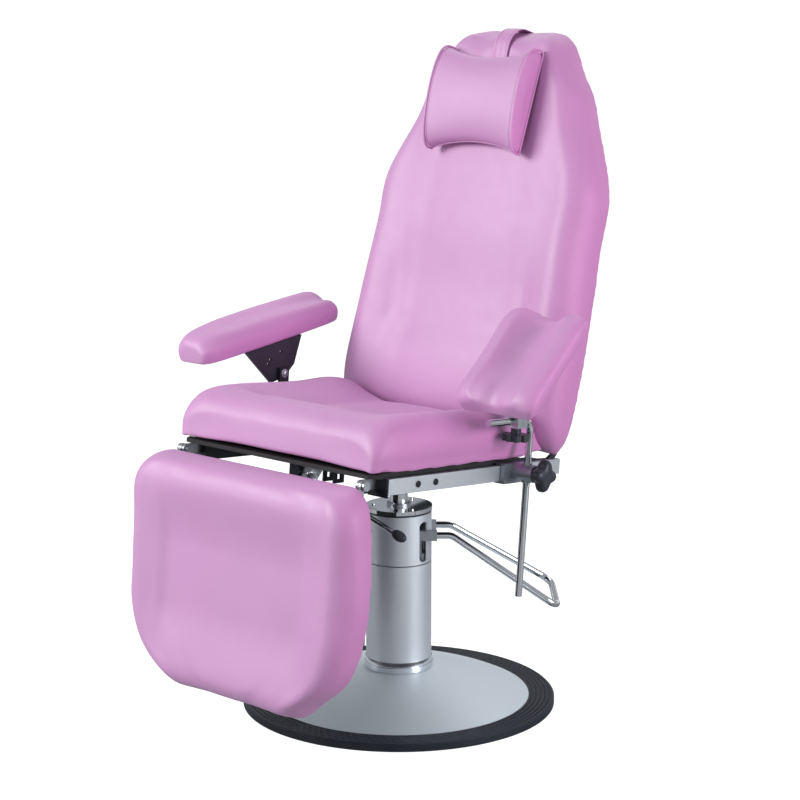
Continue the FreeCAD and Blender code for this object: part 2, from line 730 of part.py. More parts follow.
leg_ears = []
back_ears = []
pins = []
leg_leaves = []
back_arms = []
for sign in ("", "-"):
    ear = sided(sign, (eye_inner, eye_outer))
    leaf = sided(sign, (leaf_inner, leaf_outer))
    leg_at = ("leg_hinge_y", "leg_hinge_z")
    back_at = ("back_hinge_y", "back_hinge_z")
    leg_slab = block("leg_ear_slab", ear, ("leg_hinge_y", "rail_front - end_plate"),
                     ("leg_hinge_z - hinge_eye", "leg_hinge_z + hinge_eye"))
    leg_round = rod("leg_ear_round", "x", "hinge_eye", ear, leg_at)
    leg_bore = rod("leg_ear_bore", "x", "hinge_pin_radius", ear, leg_at)
    leg_ears.append(cut("leg_ear", fused("leg_ear_blank", leg_slab, leg_round), leg_bore))
    back_slab = block("back_ear_slab", ear, ("tube_rear", "back_hinge_y"),
                      ("back_hinge_z - hinge_eye", "back_hinge_z + hinge_eye"))
    back_round = rod("back_ear_round", "x", "hinge_eye", ear, back_at)
    back_bore = rod("back_ear_bore", "x", "hinge_pin_radius", ear, back_at)
    back_ears.append(cut("back_ear", fused("back_ear_blank", back_slab, back_round), back_bore))
    for at in (leg_at, back_at):
        shank = rod("hinge_shank", "x", "hinge_pin_radius", sided(sign, pin_spans), at)
        head = rod("hinge_head", "x", "hinge_eye - 1", sided(sign, pin_heads), at)
        pins.append(fused("hinge_pin", shank, head))
    rear = "leg_board_rear"
    leaf_eye = rod("leaf_eye", "x", "hinge_eye", leaf, ("0", "0"))
    leaf_strap = block("leaf_strap", leaf, (rear, rear + " + hinge_strap"), ("-leaf_length", "0"))
    leaf_bore = rod("leaf_bore", "x", "hinge_pin_radius + run_fit", leaf, ("0", "0"))
    leg_leaves.append(cut("leaf", fused("leaf_blank", leaf_eye, leaf_strap), leaf_bore))
    rear = "back_panel_thick"
    arm_web = plate("back_arm_web", "YZ_Plane", leaf[0], "hinge_plate", [
        ("-hinge_eye", "-2"), ("hinge_eye", "-4"), (rear + " + back_arm_depth", "40"),
        (rear + " + back_arm_depth", "back_arm_height"), (rear + " + part_gap", "back_arm_height"),
        (rear + " + part_gap", "back_bottom + 4"), ("-hinge_eye + 2", "6")])
    arm_eye = rod("back_arm_eye", "x", "hinge_eye", leaf, ("0", "0"))
    arm_bore = rod("back_arm_bore", "x", "hinge_pin_radius + run_fit", leaf, ("0", "0"))
    back_arms.append(cut("back_arm", fused("back_arm_blank", arm_web, arm_eye), arm_bore))
node("leg_hinge_ears", grouped("leg_ear_set", *leg_ears), "seat")
node("back_hinge_ears", grouped("back_ear_set", *back_ears), "seat")
node("hinge_pins", grouped("hinge_pin_set", *pins), "seat")
node("leg_hinge_leaves", grouped("leaf_set", *leg_leaves), "leg")
node("back_arms", grouped("back_arm_set", *back_arms), "back")

inset = "leg_board_inset"
node("leg_board", plate("leg_board_body", "XZ_Plane", "-leg_board_rear", "leg_board_thick", [
    ("-leg_half + 6 * soft_round", "-leg_top - 0.6 * soft_round"),
    ("leg_half - 6 * soft_round", "-leg_top - 0.6 * soft_round"),
    ("leg_half - " + inset, "-leg_top - 7 * soft_round"), ("leg_half - " + inset, "-leg_taper"),
    ("leg_foot_half - " + inset, "-leg_length + " + inset),
    ("-leg_foot_half + " + inset, "-leg_length + " + inset),
    ("-leg_half + " + inset, "-leg_taper"), ("-leg_half + " + inset, "-leg_top - 7 * soft_round")]), "leg")

leg_front = size("leg_board_rear") - size("leg_board_thick")
leg_rows = []
leg_half = size("leg_half")
leg_foot = size("leg_foot_half")
leg_length = size("leg_length")
leg_top = size("leg_top")
leg_taper = size("leg_taper")
for z, half, share in ((leg_top, leg_half - 5.6 * edge, 0.55),
                       (leg_top + 1.2 * edge, leg_half - 3.2 * edge, 0.78),
                       (leg_top + 4 * edge, leg_half - 1.1 * edge, 0.96),
                       (leg_top + 9 * edge, leg_half - 0.2 * edge, 1),
                       (leg_taper - 6 * edge, leg_half, 1), (leg_taper, leg_half - 0.6 * edge, 1),
                       ((leg_taper + leg_length) / 2 + edge, (leg_half + leg_foot) / 2 + edge, 0.98),
                       (leg_length - 2.6 * edge, leg_foot + 1.6 * edge, 0.9),
                       (leg_length - 0.8 * edge, leg_foot - 0.4 * edge, 0.72),
                       (leg_length, leg_foot - 1.6 * edge, 0.5)):
    leg_rows.append(padded_section(lambda x, d, z=z: V(x, leg_front - d, -z), half, 0,
                                   share * size("leg_thick"),
                                   share * (size("leg_thick") - size("leg_sink")), size("leg_roll")))
node("leg_cushion", soft_solid("leg_soft", leg_rows), "leg")

# Backrest panel and cushion
inset = "back_panel_inset"
node("back_panel", plate("back_panel_body", "XZ_Plane", "-back_panel_thick", "back_panel_thick", [
    ("-back_low_half + 4 * soft_round", "back_bottom + 1.4 * soft_round"),
    ("back_low_half - 4 * soft_round", "back_bottom + 1.4 * soft_round"),
    ("back_low_half - " + inset, "back_bottom + 9 * soft_round"),
    ("back_shoulder_half - " + inset, "back_shoulder"),
    ("back_top_half + 2.4 * soft_round - " + inset, "back_top - 6 * soft_round"),
    ("back_top_half - 1.6 * soft_round - " + inset, "back_top - 1.8 * soft_round"),
    ("-back_top_half + 1.6 * soft_round + " + inset, "back_top - 1.8 * soft_round"),
    ("-back_top_half - 2.4 * soft_round + " + inset, "back_top - 6 * soft_round"),
    ("-back_shoulder_half + " + inset, "back_shoulder"),
    ("-back_low_half + " + inset, "back_bottom + 9 * soft_round")]), "back")

low = size("back_bottom")
low_half = size("back_low_half")
shoulder = size("back_shoulder")
shoulder_half = size("back_shoulder_half")
top = size("back_top")
top_half = size("back_top_half")
bolster = size("back_bolster")
middle = size("back_middle")
back_rows = []
for z, half, share, even in ((low, low_half - 3.4 * edge, 0.2, 0),
                             (low + 1.2 * edge, low_half - 2.2 * edge, 0.46, 0),
                             (low + 3 * edge, low_half - 1.1 * edge, 0.68, 0),
                             (low + 5.5 * edge, low_half - 0.4 * edge, 0.85, 0),
                             (low + 9 * edge, low_half - 0.1 * edge, 0.95, 0),
                             (low + 14 * edge, low_half, 1, 0),
                             (low + 30 * edge, low_half - 0.4 * edge, 1, 0),
                             (shoulder - 10 * edge, shoulder_half + 0.8 * edge, 1, 0.3),
                             (shoulder, shoulder_half, 0.98, 0.6),
                             (shoulder + 5 * edge, shoulder_half - 2 * edge, 0.96, 0.9),
                             (shoulder + 15 * edge, shoulder_half - 6.4 * edge, 0.95, 1),
                             (top - 7 * edge, top_half + 3.8 * edge, 0.93, 1),
                             (top - 3 * edge, top_half + 1.2 * edge, 0.84, 1),
                             (top - edge, top_half - edge, 0.66, 1), (top, top_half - 2.8 * edge, 0.4, 1)):
    depth = share * bolster
    inner = share * (middle + even * (bolster - middle - 0.5 * edge))
    back_rows.append(padded_section(lambda x, d, z=z: V(x, -d, z), half, 0, depth, inner, 0.42 * half))
node("back_cushion", soft_solid("back_soft", back_rows), "back")

# Recline linkage: equal cranks on the leg rest and the backrest joined by a rod
crank_y = "link_crank * sin(link_angle)"
crank_z = "-link_crank * cos(link_angle)"
crank_span = ("link_x - link_width / 2 - 1 - crank_plate", "link_x - link_width / 2 - 1")
pin_span = ("link_x - link_width / 2 - 1 - crank_plate", "link_x + link_width / 2 + 4")
leg_web = plate("leg_crank_web", "YZ_Plane", crank_span[0], "crank_plate", [
    ("leg_board_rear", "-crank_top"), (crank_y, crank_z + " + link_eye"), (crank_y, crank_z + " - link_eye"),
    ("leg_board_rear", "-crank_foot")])
leg_eye = rod("leg_crank_eye", "x", "link_eye", crank_span, (crank_y, crank_z))
leg_pin = rod("leg_crank_pin", "x", "link_pin_radius", pin_span, (crank_y, crank_z))
node("leg_crank", fused("leg_crank_body", leg_web, leg_eye, leg_pin), "leg")

spring_pin_y = "spring_crank * sin(spring_angle)"
spring_pin_z = "-spring_crank * cos(spring_angle)"
spring_plate = ("spring_x + spring_radius - 2", "spring_x + spring_radius - 2 + crank_plate")
spring_pin_span = ("spring_x - 9", spring_plate[1])
crossbar = block("crossbar", ("-(%s)" % leaf_inner, leaf_inner), ("bar_front", "bar_rear"),
                 ("bar_low", "bar_high"))
weld_line = "bar_high - bar_weld"
link_web = plate("link_crank_web", "YZ_Plane", crank_span[0], "crank_plate", [
    ("bar_front", weld_line), ("bar_rear", weld_line), (crank_y + " + link_eye - 1", crank_z),
    (crank_y + " - link_eye + 1", crank_z)])
link_eye = rod("link_crank_eye", "x", "link_eye", crank_span, (crank_y, crank_z))
link_pin = rod("link_crank_pin", "x", "link_pin_radius", pin_span, (crank_y, crank_z))
spring_web = plate("spring_crank_web", "YZ_Plane", spring_plate[0], "crank_plate", [
    ("bar_front", weld_line), ("bar_rear", weld_line), (spring_pin_y + " + link_eye - 1", spring_pin_z),
    (spring_pin_y + " - link_eye + 1", spring_pin_z)])
spring_eye = rod("spring_crank_eye", "x", "link_eye", spring_plate, (spring_pin_y, spring_pin_z))
spring_pin = rod("spring_crank_pin", "x", "spring_pin_radius", spring_pin_span, (spring_pin_y, spring_pin_z))
node("back_cranks", fused("back_crank_body", crossbar, link_web, link_eye, link_pin, spring_web, spring_eye,
                          spring_pin), "crank")

link_span = ("link_x - link_width / 2", "link_x + link_width / 2")
link_front = "leg_hinge_y + " + crank_y
link_rear = "back_hinge_y + " + crank_y
link_z = "leg_hinge_z + (%s)" % crank_z
link_bar = rod("link_bar", "y", "link_rod_radius", (link_front, link_rear), ("link_x", link_z))
link_ends = [rod("link_end", "x", "link_eye", link_span, (y, link_z)) for y in (link_front, link_rear)]
bore_span = ("link_x - link_eye", "link_x + link_eye")
front_bore = rod("link_front_bore", "x", "link_pin_radius + link_slack", bore_span, (link_front, link_z))
rear_bore = rod("link_rear_bore", "x", "link_pin_radius + run_fit", bore_span, (link_rear, link_z))
node("sync_rod", cut("link_body", fused("link_blank", link_bar, *link_ends), front_bore, rear_bore), "seat")

# Locking gas spring between the backrest crank and a slotted hanger
spring_y = "back_hinge_y + " + spring_pin_y
spring_z = "back_hinge_z + (%s)" % spring_pin_z
barrel_rear = spring_y + " - spring_neck"
barrel_front = barrel_rear + " - spring_barrel_length"
spring_at = ("spring_x", spring_z)
eye_span = ("spring_x - 6", "spring_x + 6")
barrel_out = rod("barrel_out", "y", "spring_radius", (barrel_front, barrel_rear), spring_at)
barrel_neck = rod("barrel_neck", "y", "spring_rod_radius", (barrel_rear, spring_y), spring_at)
barrel_eye = rod("barrel_eye", "x", "9", eye_span, (spring_y, spring_z))
barrel_hole = rod("barrel_hole", "x", "spring_pin_radius + run_fit", eye_span, (spring_y, spring_z))
barrel_in = rod("barrel_in", "y", "spring_radius - spring_wall",
                (barrel_front + " + 5", barrel_rear + " - 5"), spring_at)
barrel_gland = rod("barrel_gland", "y", "spring_rod_radius + run_fit",
                   (barrel_front, barrel_front + " + 6"), spring_at)
node("spring_barrel", cut("barrel_body", fused("barrel_blank", barrel_out, barrel_neck, barrel_eye),
                          barrel_hole, barrel_in, barrel_gland), "seat")

spring_front = spring_y + " - spring_span"
cheek_gap = "spring_radius"
spring_bar = rod("spring_bar", "y", "spring_rod_radius", (spring_front, barrel_front + " + 16"), spring_at)
spring_piston = rod("spring_piston", "y", "spring_radius - spring_wall - run_fit",
                    (barrel_front + " + 6", barrel_front + " + 16"), spring_at)
spring_cross = rod("spring_cross", "x", "spring_pin_radius",
                   ("spring_x - spring_radius - hanger_cheek - 2",
                    "spring_x + spring_radius + hanger_cheek + 2"), (spring_front, spring_z))
node("spring_rod", fused("spring_rod_body", spring_bar, spring_piston, spring_cross), "seat")

hanger_y = (spring_front + " - 15", spring_front + " + 15")
hanger_low = spring_z + " - hanger_slot_drop - spring_pin_radius - 8"
hanger_x = ("spring_x - spring_radius - hanger_cheek", "spring_x + spring_radius + hanger_cheek")
hanger_top = block("hanger_top", hanger_x, hanger_y, ("-tube_height - hanger_cheek", "-tube_height"))
cheeks = [block("hanger_cheek_plate", span, hanger_y, (hanger_low, "-tube_height")) for span in (
    ("spring_x - spring_radius - hanger_cheek", "spring_x - spring_radius"),
    ("spring_x + spring_radius", "spring_x + spring_radius + hanger_cheek"))]
hanger_slot = block("hanger_slot", ("spring_x - spring_radius - 10", "spring_x + spring_radius + 10"),
                    (spring_front + " - hanger_slot_half", spring_front + " + hanger_slot_half"),
                    (spring_z + " - hanger_slot_drop - spring_pin_radius",
                     spring_z + " + spring_pin_radius + part_gap"))
node("spring_hanger", cut("hanger_body", fused("hanger_blank", hanger_top, *cheeks), hanger_slot), "seat")

# Release lever on a lug under the front of the seat
lug_rear = "lever_y + lever_eye_width / 2 + 6"
lug_front = "lever_y + lever_eye_width / 2 + 1"
lever_hanger = block("lever_hanger_bar", ("lever_x - 45", "lever_x - 21"), ("lever_y - 5", "lever_y + 19"),
                     ("lever_z - 16", "0"))
node("lever_hanger", lever_hanger, "seat")
lug_web = plate("lever_lug_web", "XZ_Plane", "-(%s)" % lug_rear, "5", [
    ("lever_x - 21", "0"), ("lever_x + 35", "0"), ("lever_x + 8", "lever_z - 14"),
    ("lever_x - 8", "lever_z - 14"), ("lever_x - 21", "lever_z")])
lug_pin = rod("lever_lug_pin", "y", "hinge_pin_radius", ("lever_y - lever_eye_width / 2 - 1", lug_rear),
              ("lever_x", "lever_z"))
lug_head = rod("lever_lug_head", "y", "lever_eye - 1",
               ("lever_y - lever_eye_width / 2 - 6", "lever_y - lever_eye_width / 2 - 1"),
               ("lever_x", "lever_z"))
node("lever_lug", fused("lever_lug_body", lug_web, lug_pin, lug_head), "seat")

lever_turn = FreeCAD.Rotation(V(0, 1, 0), 100)


def along_lever(piece, share):
    piece.Placement = FreeCAD.Placement(V(), lever_turn)
    bind(piece, ".Placement.Rotation.Angle", "90 + lever_drop")
    bind(piece, ".Placement.Base.x", "lever_x + (%s) * cos(lever_drop)" % share)
    bind(piece, ".Placement.Base.y", "lever_y")
    bind(piece, ".Placement.Base.z", "lever_z - (%s) * sin(lever_drop)" % share)
    return piece


lever_shaft = doc.addObject("Part::Cylinder", "lever_shaft")
bind(lever_shaft, "Radius", "lever_radius")
bind(lever_shaft, "Height", "lever_length")
along_lever(lever_shaft, "0")
lever_ring = rod("lever_ring", "y", "lever_eye",
                 ("lever_y - lever_eye_width / 2", "lever_y + lever_eye_width / 2"), ("lever_x", "lever_z"))
lever_bore = rod("lever_bore", "y", "hinge_pin_radius + run_fit", ("lever_y - 20", "lever_y + 20"),
                 ("lever_x", "lever_z"))
node("lever_rod", cut("lever_body", fused("lever_blank", lever_shaft, lever_ring), lever_bore), "seat")
knob_ball = doc.addObject("Part::Ellipsoid", "knob_ball")
bind(knob_ball, "Radius1", "knob_long")
bind(knob_ball, "Radius2", "knob_round")
bind(knob_ball, "Radius3", "knob_round")
along_lever(knob_ball, "lever_length + knob_long / 2")
knob_socket = doc.addObject("Part::Cylinder", "knob_socket")
bind(knob_socket, "Radius", "lever_radius")
bind(knob_socket, "Height", "lever_length")
along_lever(knob_socket, "0")
node("lever_knob", cut("knob_body", knob_ball, knob_socket), "seat")

# Head pillow on a strap that passes over the top of the backrest
strap_front = bolster * 0.98 + size("strap_gap")
strap_rear = size("back_panel_thick") + size("strap_gap")
strap_top = top + size("strap_gap")
half = size("strap_width") / 2


def strap_line(grow):
    a = -strap_front - grow
    b = strap_rear + grow
    c = strap_top + grow
    r = size("strap_bend") + grow
    q = size("strap_rear_bend") + grow
    s = r * (1 - math.sqrt(0.5))
    t = q * (1 - math.sqrt(0.5))
    low_front = size("pillow_centre") - size("pillow_height") / 2 + 1.4 * edge
    low_rear = shoulder + 6 * edge
    return [
        Part.LineSegment(V(-half, a, low_front), V(-half, a, c - r)).toShape(),
        Part.Arc(V(-half, a, c - r), V(-half, a + s, c - s), V(-half, a + r, c)).toShape(),
        Part.LineSegment(V(-half, a + r, c), V(-half, b - q, c)).toShape(),
        Part.Arc(V(-half, b - q, c), V(-half, b - t, c - t), V(-half, b, c - q)).toShape(),
        Part.LineSegment(V(-half, b, c - q), V(-half, b, low_rear)).toShape(),
    ]


inner_line = strap_line(0)
outer_line = strap_line(size("strap_thick"))
closing = [
    Part.LineSegment(inner_line[0].Vertexes[0].Point, outer_line[0].Vertexes[0].Point).toShape(),
    Part.LineSegment(inner_line[-1].Vertexes[-1].Point, outer_line[-1].Vertexes[-1].Point).toShape(),
]
strap_face = Part.Face(Part.Wire(Part.__sortEdges__(inner_line + outer_line + closing)))
strap = doc.addObject("Part::Feature", "strap_band")
strap.Shape = strap_face.extrude(V(2 * half, 0, 0))
node("headrest_strap", strap, "back")

pillow_back = strap_front + size("strap_thick") + 2 * size("part_gap")
pillow_rows = []
for x, draw in ((-1, 1.4), (-0.94, 0.2), (-0.6, 0.5), (0, 0.9), (0.6, 0.5), (0.94, 0.2), (1, 1.4)):
    across = x * size("pillow_half")
    rise = size("pillow_height") / 2 - draw * edge
    depth = size("pillow_depth") - 0.6 * draw * edge
    centre = size("pillow_centre")
    pillow_rows.append([
        (V(across, -pillow_back, centre - rise), None),
        (V(across, -pillow_back - 0.62 * depth, centre - 0.78 * rise),
         V(across, -pillow_back - 0.36 * depth, centre - rise)),
        (V(across, -pillow_back - depth, centre),
         V(across, -pillow_back - 0.9 * depth, centre - 0.44 * rise)),
        (V(across, -pillow_back - 0.62 * depth, centre + 0.78 * rise),
         V(across, -pillow_back - 0.9 * depth, centre + 0.44 * rise)),
        (V(across, -pillow_back, centre + rise), V(across, -pillow_back - 0.36 * depth, centre + rise)),
    ])
node("headrest_pillow", soft_solid("pillow_soft", pillow_rows), "back")

# Swing-up armrest on the sitter's right
pad_x = "arm_support_x - arm_support_thick"
rail_face = "-rail_outer"
foot = block("arm_foot", ("arm_support_x", rail_face),
             ("arm_pivot_y - arm_foot_half", "arm_pivot_y + arm_foot_half"), ("-rail_height", "-2"))
upright = block("arm_upright", (pad_x, "arm_support_x"),
                ("arm_pivot_y - arm_upright_half", "arm_pivot_y + arm_upright_half"),
                ("-rail_height", "arm_pivot_z + arm_upright_rise"))
arm_plate_outer = pad_x + " - arm_plate_gap - arm_support_thick"
arm_pin = rod("arm_pin", "x", "arm_pin_radius", (arm_plate_outer + " - 1", pad_x),
              ("arm_pivot_y", "arm_pivot_z"))
arm_nut = rod("arm_nut", "x", "arm_pin_radius + 4", (arm_plate_outer + " - 7", arm_plate_outer + " - 1"),
              ("arm_pivot_y", "arm_pivot_z"))
node("armrest_support", fused("arm_support_body", foot, upright, arm_pin, arm_nut), "seat")

index_holes = [("arm_pin_radius + run_fit", "0", "0")]
for turn in (-5, 38, 51):
    index_holes.append(("index_hole", "-index_radius * sin(%d)" % turn, "index_radius * cos(%d)" % turn))
node("armrest_plate", plate("arm_plate_body", "YZ_Plane", arm_plate_outer, "arm_support_thick", [
    ("-arm_plate_heel", "-arm_plate_low"), ("arm_plate_toe", "-arm_plate_low"), ("arm_knee_y", "arm_knee_z"),
    ("arm_plate_rear", "arm_pad_base"), ("-arm_plate_front", "arm_pad_base")], index_holes), "arm")

pad_rows = []
pad_front = size("arm_pad_front")
pad_rear = size("arm_pad_rear")
wide = size("arm_pad_width") / 2
pad_mid = size("arm_pad_inner") - wide
for y, narrow, share in ((pad_front, 2, 0.5), (pad_front + 0.8 * edge, 1, 0.74),
                         (pad_front + 2.6 * edge, 0.3, 0.92), (pad_front + 6 * edge, 0, 1),
                         (pad_rear - 6 * edge, 0, 1), (pad_rear - 2.6 * edge, 0.3, 0.94),
                         (pad_rear - 0.8 * edge, 1, 0.78), (pad_rear, 2, 0.54)):
    base = size("arm_pad_base") + (1 - share) * 1.2 * edge
    tall = share * size("arm_pad_thick")
    span = wide - narrow * edge
    pad_rows.append([
        (V(pad_mid + span - edge, y, base), None),
        (V(pad_mid + span - 0.7 * edge, y, base + 0.76 * tall), V(pad_mid + span, y, base + 0.42 * tall)),
        (V(pad_mid, y, base + tall), V(pad_mid + 0.6 * span, y, base + 0.95 * tall)),
        (V(pad_mid - span + 0.7 * edge, y, base + 0.76 * tall),
         V(pad_mid - 0.6 * span, y, base + 0.95 * tall)),
        (V(pad_mid - span + edge, y, base), V(pad_mid - span, y, base + 0.42 * tall)),
    ])
node("armrest_pad", soft_solid("arm_pad_soft", pad_rows), "arm")

# Rail clamp that carries the height-adjustable tray post on the sitter's left
face = "rail_outer + clamp_slack"
back_face = "rail_outer - rail_thick - clamp_slack"
hook_face = "rail_outer - rail_thick - clamp_slack - clamp_lip"
roof = "clamp_slack"
roof_top = "clamp_slack + clamp_lip"
floor_in = "-rail_height - clamp_slack"
floor_out = "-rail_height - clamp_slack - clamp_lip"
jaw = plate("clamp_jaw", "XZ_Plane", "-clamp_y - clamp_half", "2 * clamp_half", [
    (face + " + clamp_plate", floor_out), (face + " + clamp_plate", roof_top), (hook_face, roof_top),
    (hook_face, "-clamp_hook"), (back_face, "-clamp_hook"), (back_face, roof), (face, roof), (face, floor_in),
    (back_face, floor_in), (back_face, "-rail_height + clamp_hook"), (hook_face, "-rail_height + clamp_hook"),
    (hook_face, floor_out)])
boss = rod("clamp_boss", "x", "boss_radius", (face + " + clamp_plate", "boss_end"), ("clamp_y", "boss_z"))
bush_out = "post_radius + run_fit + bush_wall"
boss_bore = rod("boss_bore", "z", bush_out + " + run_fit", ("-100", "100"), ("post_x", "clamp_y"))
stem_bore = rod("stem_bore", "x", "star_stem + run_fit", ("post_x", "boss_end + 1"), ("clamp_y", "boss_z"))
node("rail_clamp", cut("clamp_body", fused("clamp_blank", jaw, boss), boss_bore, stem_bore), "seat")

bush_span = ("boss_z - boss_radius - 2", "boss_z + boss_radius + 2")
bush_blank = rod("bush_blank", "z", bush_out, bush_span, ("post_x", "clamp_y"))
bush_bore = rod("bush_bore", "z", "post_radius + run_fit", bush_span, ("post_x", "clamp_y"))
node("post_bush", cut("bush_body", bush_blank, bush_bore), "seat")

post_line = [
    V(size("post_x"), size("clamp_y"), size("post_low")),
    V(size("post_x"), size("clamp_y"), size("post_bend_z")),
    V(size("post_x"), size("post_front"), size("post_bend_z")),
]
node("arm_post", bent_bar("post_bar", post_line, size("post_radius"), size("post_bend")), "seat")

star_low = "boss_end + part_gap"
star_at = ("clamp_y", "boss_z")
star = [
    rod("star_stem_bar", "x", "star_stem", ("post_x + %s + 0.2" % bush_out, star_low), star_at),
    rod("star_neck", "x", "star_radius - 5", (star_low, star_low + " + star_depth / 2"), star_at),
    rod("star_core", "x", "star_radius", (star_low + " + 8", star_low + " + star_depth + 4"), star_at),
]
for i in range(4):
    turn = 90 * i + 20
    lobe = doc.addObject("Part::Ellipsoid", "star_lobe_ball")
    bind(lobe, "Radius1", "star_lobe")
    bind(lobe, "Radius2", "star_depth / 2")
    bind(lobe, "Radius3", "star_lobe")
    bind(lobe, ".Placement.Base.x", star_low + " + 8 + star_depth / 2")
    bind(lobe, ".Placement.Base.y", "clamp_y + star_radius * cos(%d)" % turn)
    bind(lobe, ".Placement.Base.z", "boss_z + star_radius * sin(%d)" % turn)
    star.append(lobe)
node("star_knob", fused("star_body", *star), "seat")

# Tray clamp on the front leg of the post, its knob and the tilting tray
clamp_x = ("post_x - tray_clamp_half", "post_x + tray_clamp_half")
clamp_top = "post_bend_z + post_radius + tray_clamp_wall"
clamp_low = "post_bend_z - post_radius - tray_clamp_wall"
tray_block = block("tray_block", clamp_x,
                   ("tray_clamp_y - tray_clamp_half", "tray_clamp_y + tray_clamp_half"),
                   (clamp_low, clamp_top))
tray_neck = block("tray_neck", ("post_x - tray_eye_half", "post_x + tray_eye_half"),
                  ("tray_clamp_y - tray_eye + 2", "tray_clamp_y + tray_eye - 2"), (clamp_top, "tray_pivot_z"))
tray_eye = rod("tray_eye_round", "x", "tray_eye", ("post_x - tray_eye_half", "post_x + tray_eye_half"),
               ("tray_clamp_y", "tray_pivot_z"))
tray_bar_hole = rod("tray_bar_hole", "y", "post_radius + run_fit",
                    ("tray_clamp_y - 2 * tray_clamp_half", "tray_clamp_y + 2 * tray_clamp_half"),
                    ("post_x", "post_bend_z"))
tray_pin_hole = rod("tray_pin_hole", "x", "tray_pin_radius + run_fit", ("post_x - 30", "post_x + 30"),
                    ("tray_clamp_y", "tray_pivot_z"))
tray_stem_hole = rod("tray_stem_hole", "z", "tray_stem + run_fit", (clamp_low + " - 1", "post_bend_z"),
                     ("post_x", "tray_clamp_y"))
node("tray_clamp", cut("tray_clamp_body", fused("tray_clamp_blank", tray_block, tray_neck, tray_eye),
                       tray_bar_hole, tray_pin_hole, tray_stem_hole), "seat")

knob_at = ("post_x", "tray_clamp_y")
knob_low = "tray_knob_z - tray_knob_thick / 2"
knob_top = "tray_knob_z + tray_knob_thick / 2"
wheel = [
    rod("tray_knob_disc", "z", "tray_knob_radius", (knob_low, knob_top), knob_at),
    rod("tray_knob_hub", "z", "tray_knob_radius / 2", (knob_low, clamp_low + " - part_gap"), knob_at),
    rod("tray_knob_stem", "z", "tray_stem", (knob_low, "post_bend_z - post_radius - 0.2"), knob_at),
]
for i in range(8):
    turn = 45 * i
    grip_at = ("post_x + tray_knob_radius * cos(%d)" % turn,
               "tray_clamp_y + tray_knob_radius * sin(%d)" % turn)
    wheel.append(rod("tray_knob_grip", "z", "tray_knob_lobe", (knob_low, knob_top), grip_at))
node("tray_knob", fused("tray_knob_body", *wheel), "seat")

ear_in = "tray_eye_half + part_gap"
ear_out = "tray_eye_half + part_gap + 7"
panel_x = ("tray_offset - tray_half + 1.4 * soft_round", "tray_offset + tray_half - 1.4 * soft_round")
panel_y = ("tray_front + 1.2 * soft_round", "tray_rear - 1.2 * soft_round")
tray_board = [block("tray_panel", panel_x, panel_y, ("tray_base - tray_board_thick", "tray_base"))]
for span in ((ear_in, ear_out), ("-(%s)" % ear_out, "-(%s)" % ear_in)):
    ear_z = ("0", "tray_base - tray_board_thick")
    tray_board.append(block("tray_ear", span, ("-tray_eye", "tray_eye"), ear_z))
    tray_board.append(rod("tray_ear_round", "x", "tray_eye", span, ("0", "0")))
tray_board.append(rod("tray_pin", "x", "tray_pin_radius", ("-(%s)" % ear_out, ear_out), ("0", "0")))
node("tray_board", fused("tray_board_body", *tray_board), "tray")

tray_rows = []
tray_mid = size("tray_offset")
front = size("tray_front")
rear = size("tray_rear")
for y, narrow, share in ((front, 1.2, 0.56), (front + 0.8 * edge, 0.5, 0.8), (front + 2.6 * edge, 0, 0.97),
                         (front + 6 * edge, 0, 1), (rear - 6 * edge, 0, 1), (rear - 2.6 * edge, 0.2, 0.97),
                         (rear - 0.8 * edge, 0.8, 0.82), (rear, 1.6, 0.6)):
    span = size("tray_half") - narrow * edge
    base = size("tray_base")
    lip = share * size("tray_lip")
    valley = share * size("tray_valley")
    tray_rows.append([
        (V(tray_mid + span - edge, y, base), None),
        (V(tray_mid + span - 0.6 * edge, y, base + 0.8 * lip), V(tray_mid + span, y, base + 0.42 * lip)),
        (V(tray_mid + span - 4 * edge, y, base + 0.94 * lip), V(tray_mid + span - 2.2 * edge, y, base + lip)),
        (V(tray_mid - span + 4 * edge, y, base + 0.94 * lip), V(tray_mid, y, base + valley)),
        (V(tray_mid - span + 0.6 * edge, y, base + 0.8 * lip),
         V(tray_mid - span + 2.2 * edge, y, base + lip)),
        (V(tray_mid - span + edge, y, base), V(tray_mid - span, y, base + 0.42 * lip)),
    ])
node("tray_pad", soft_solid("tray_soft", tray_rows), "tray")

# Every piece must be sound before any file is written
doc.recompute()
faults = [piece.Label for piece in doc.Objects if "Invalid" in piece.State or "Error" in piece.State]
faults += [piece.Label for piece in nodes if piece.Shape.isNull() or not piece.Shape.isValid()]
if faults:
    raise RuntimeError("unsound pieces: " + ", ".join(faults))
for piece in nodes:
    piece.Shape.exportStep(os.path.join("parts", piece.Label + ".step"))
    solids = len(piece.Shape.Solids)
    print("%-18s solids %d volume %.1f cm3" % (piece.Label, solids, piece.Shape.Volume / 1000))
print(len(nodes), "pieces written")
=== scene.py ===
import math
import bmesh
import bpy
import numpy as np
from mathutils import Matrix, Vector


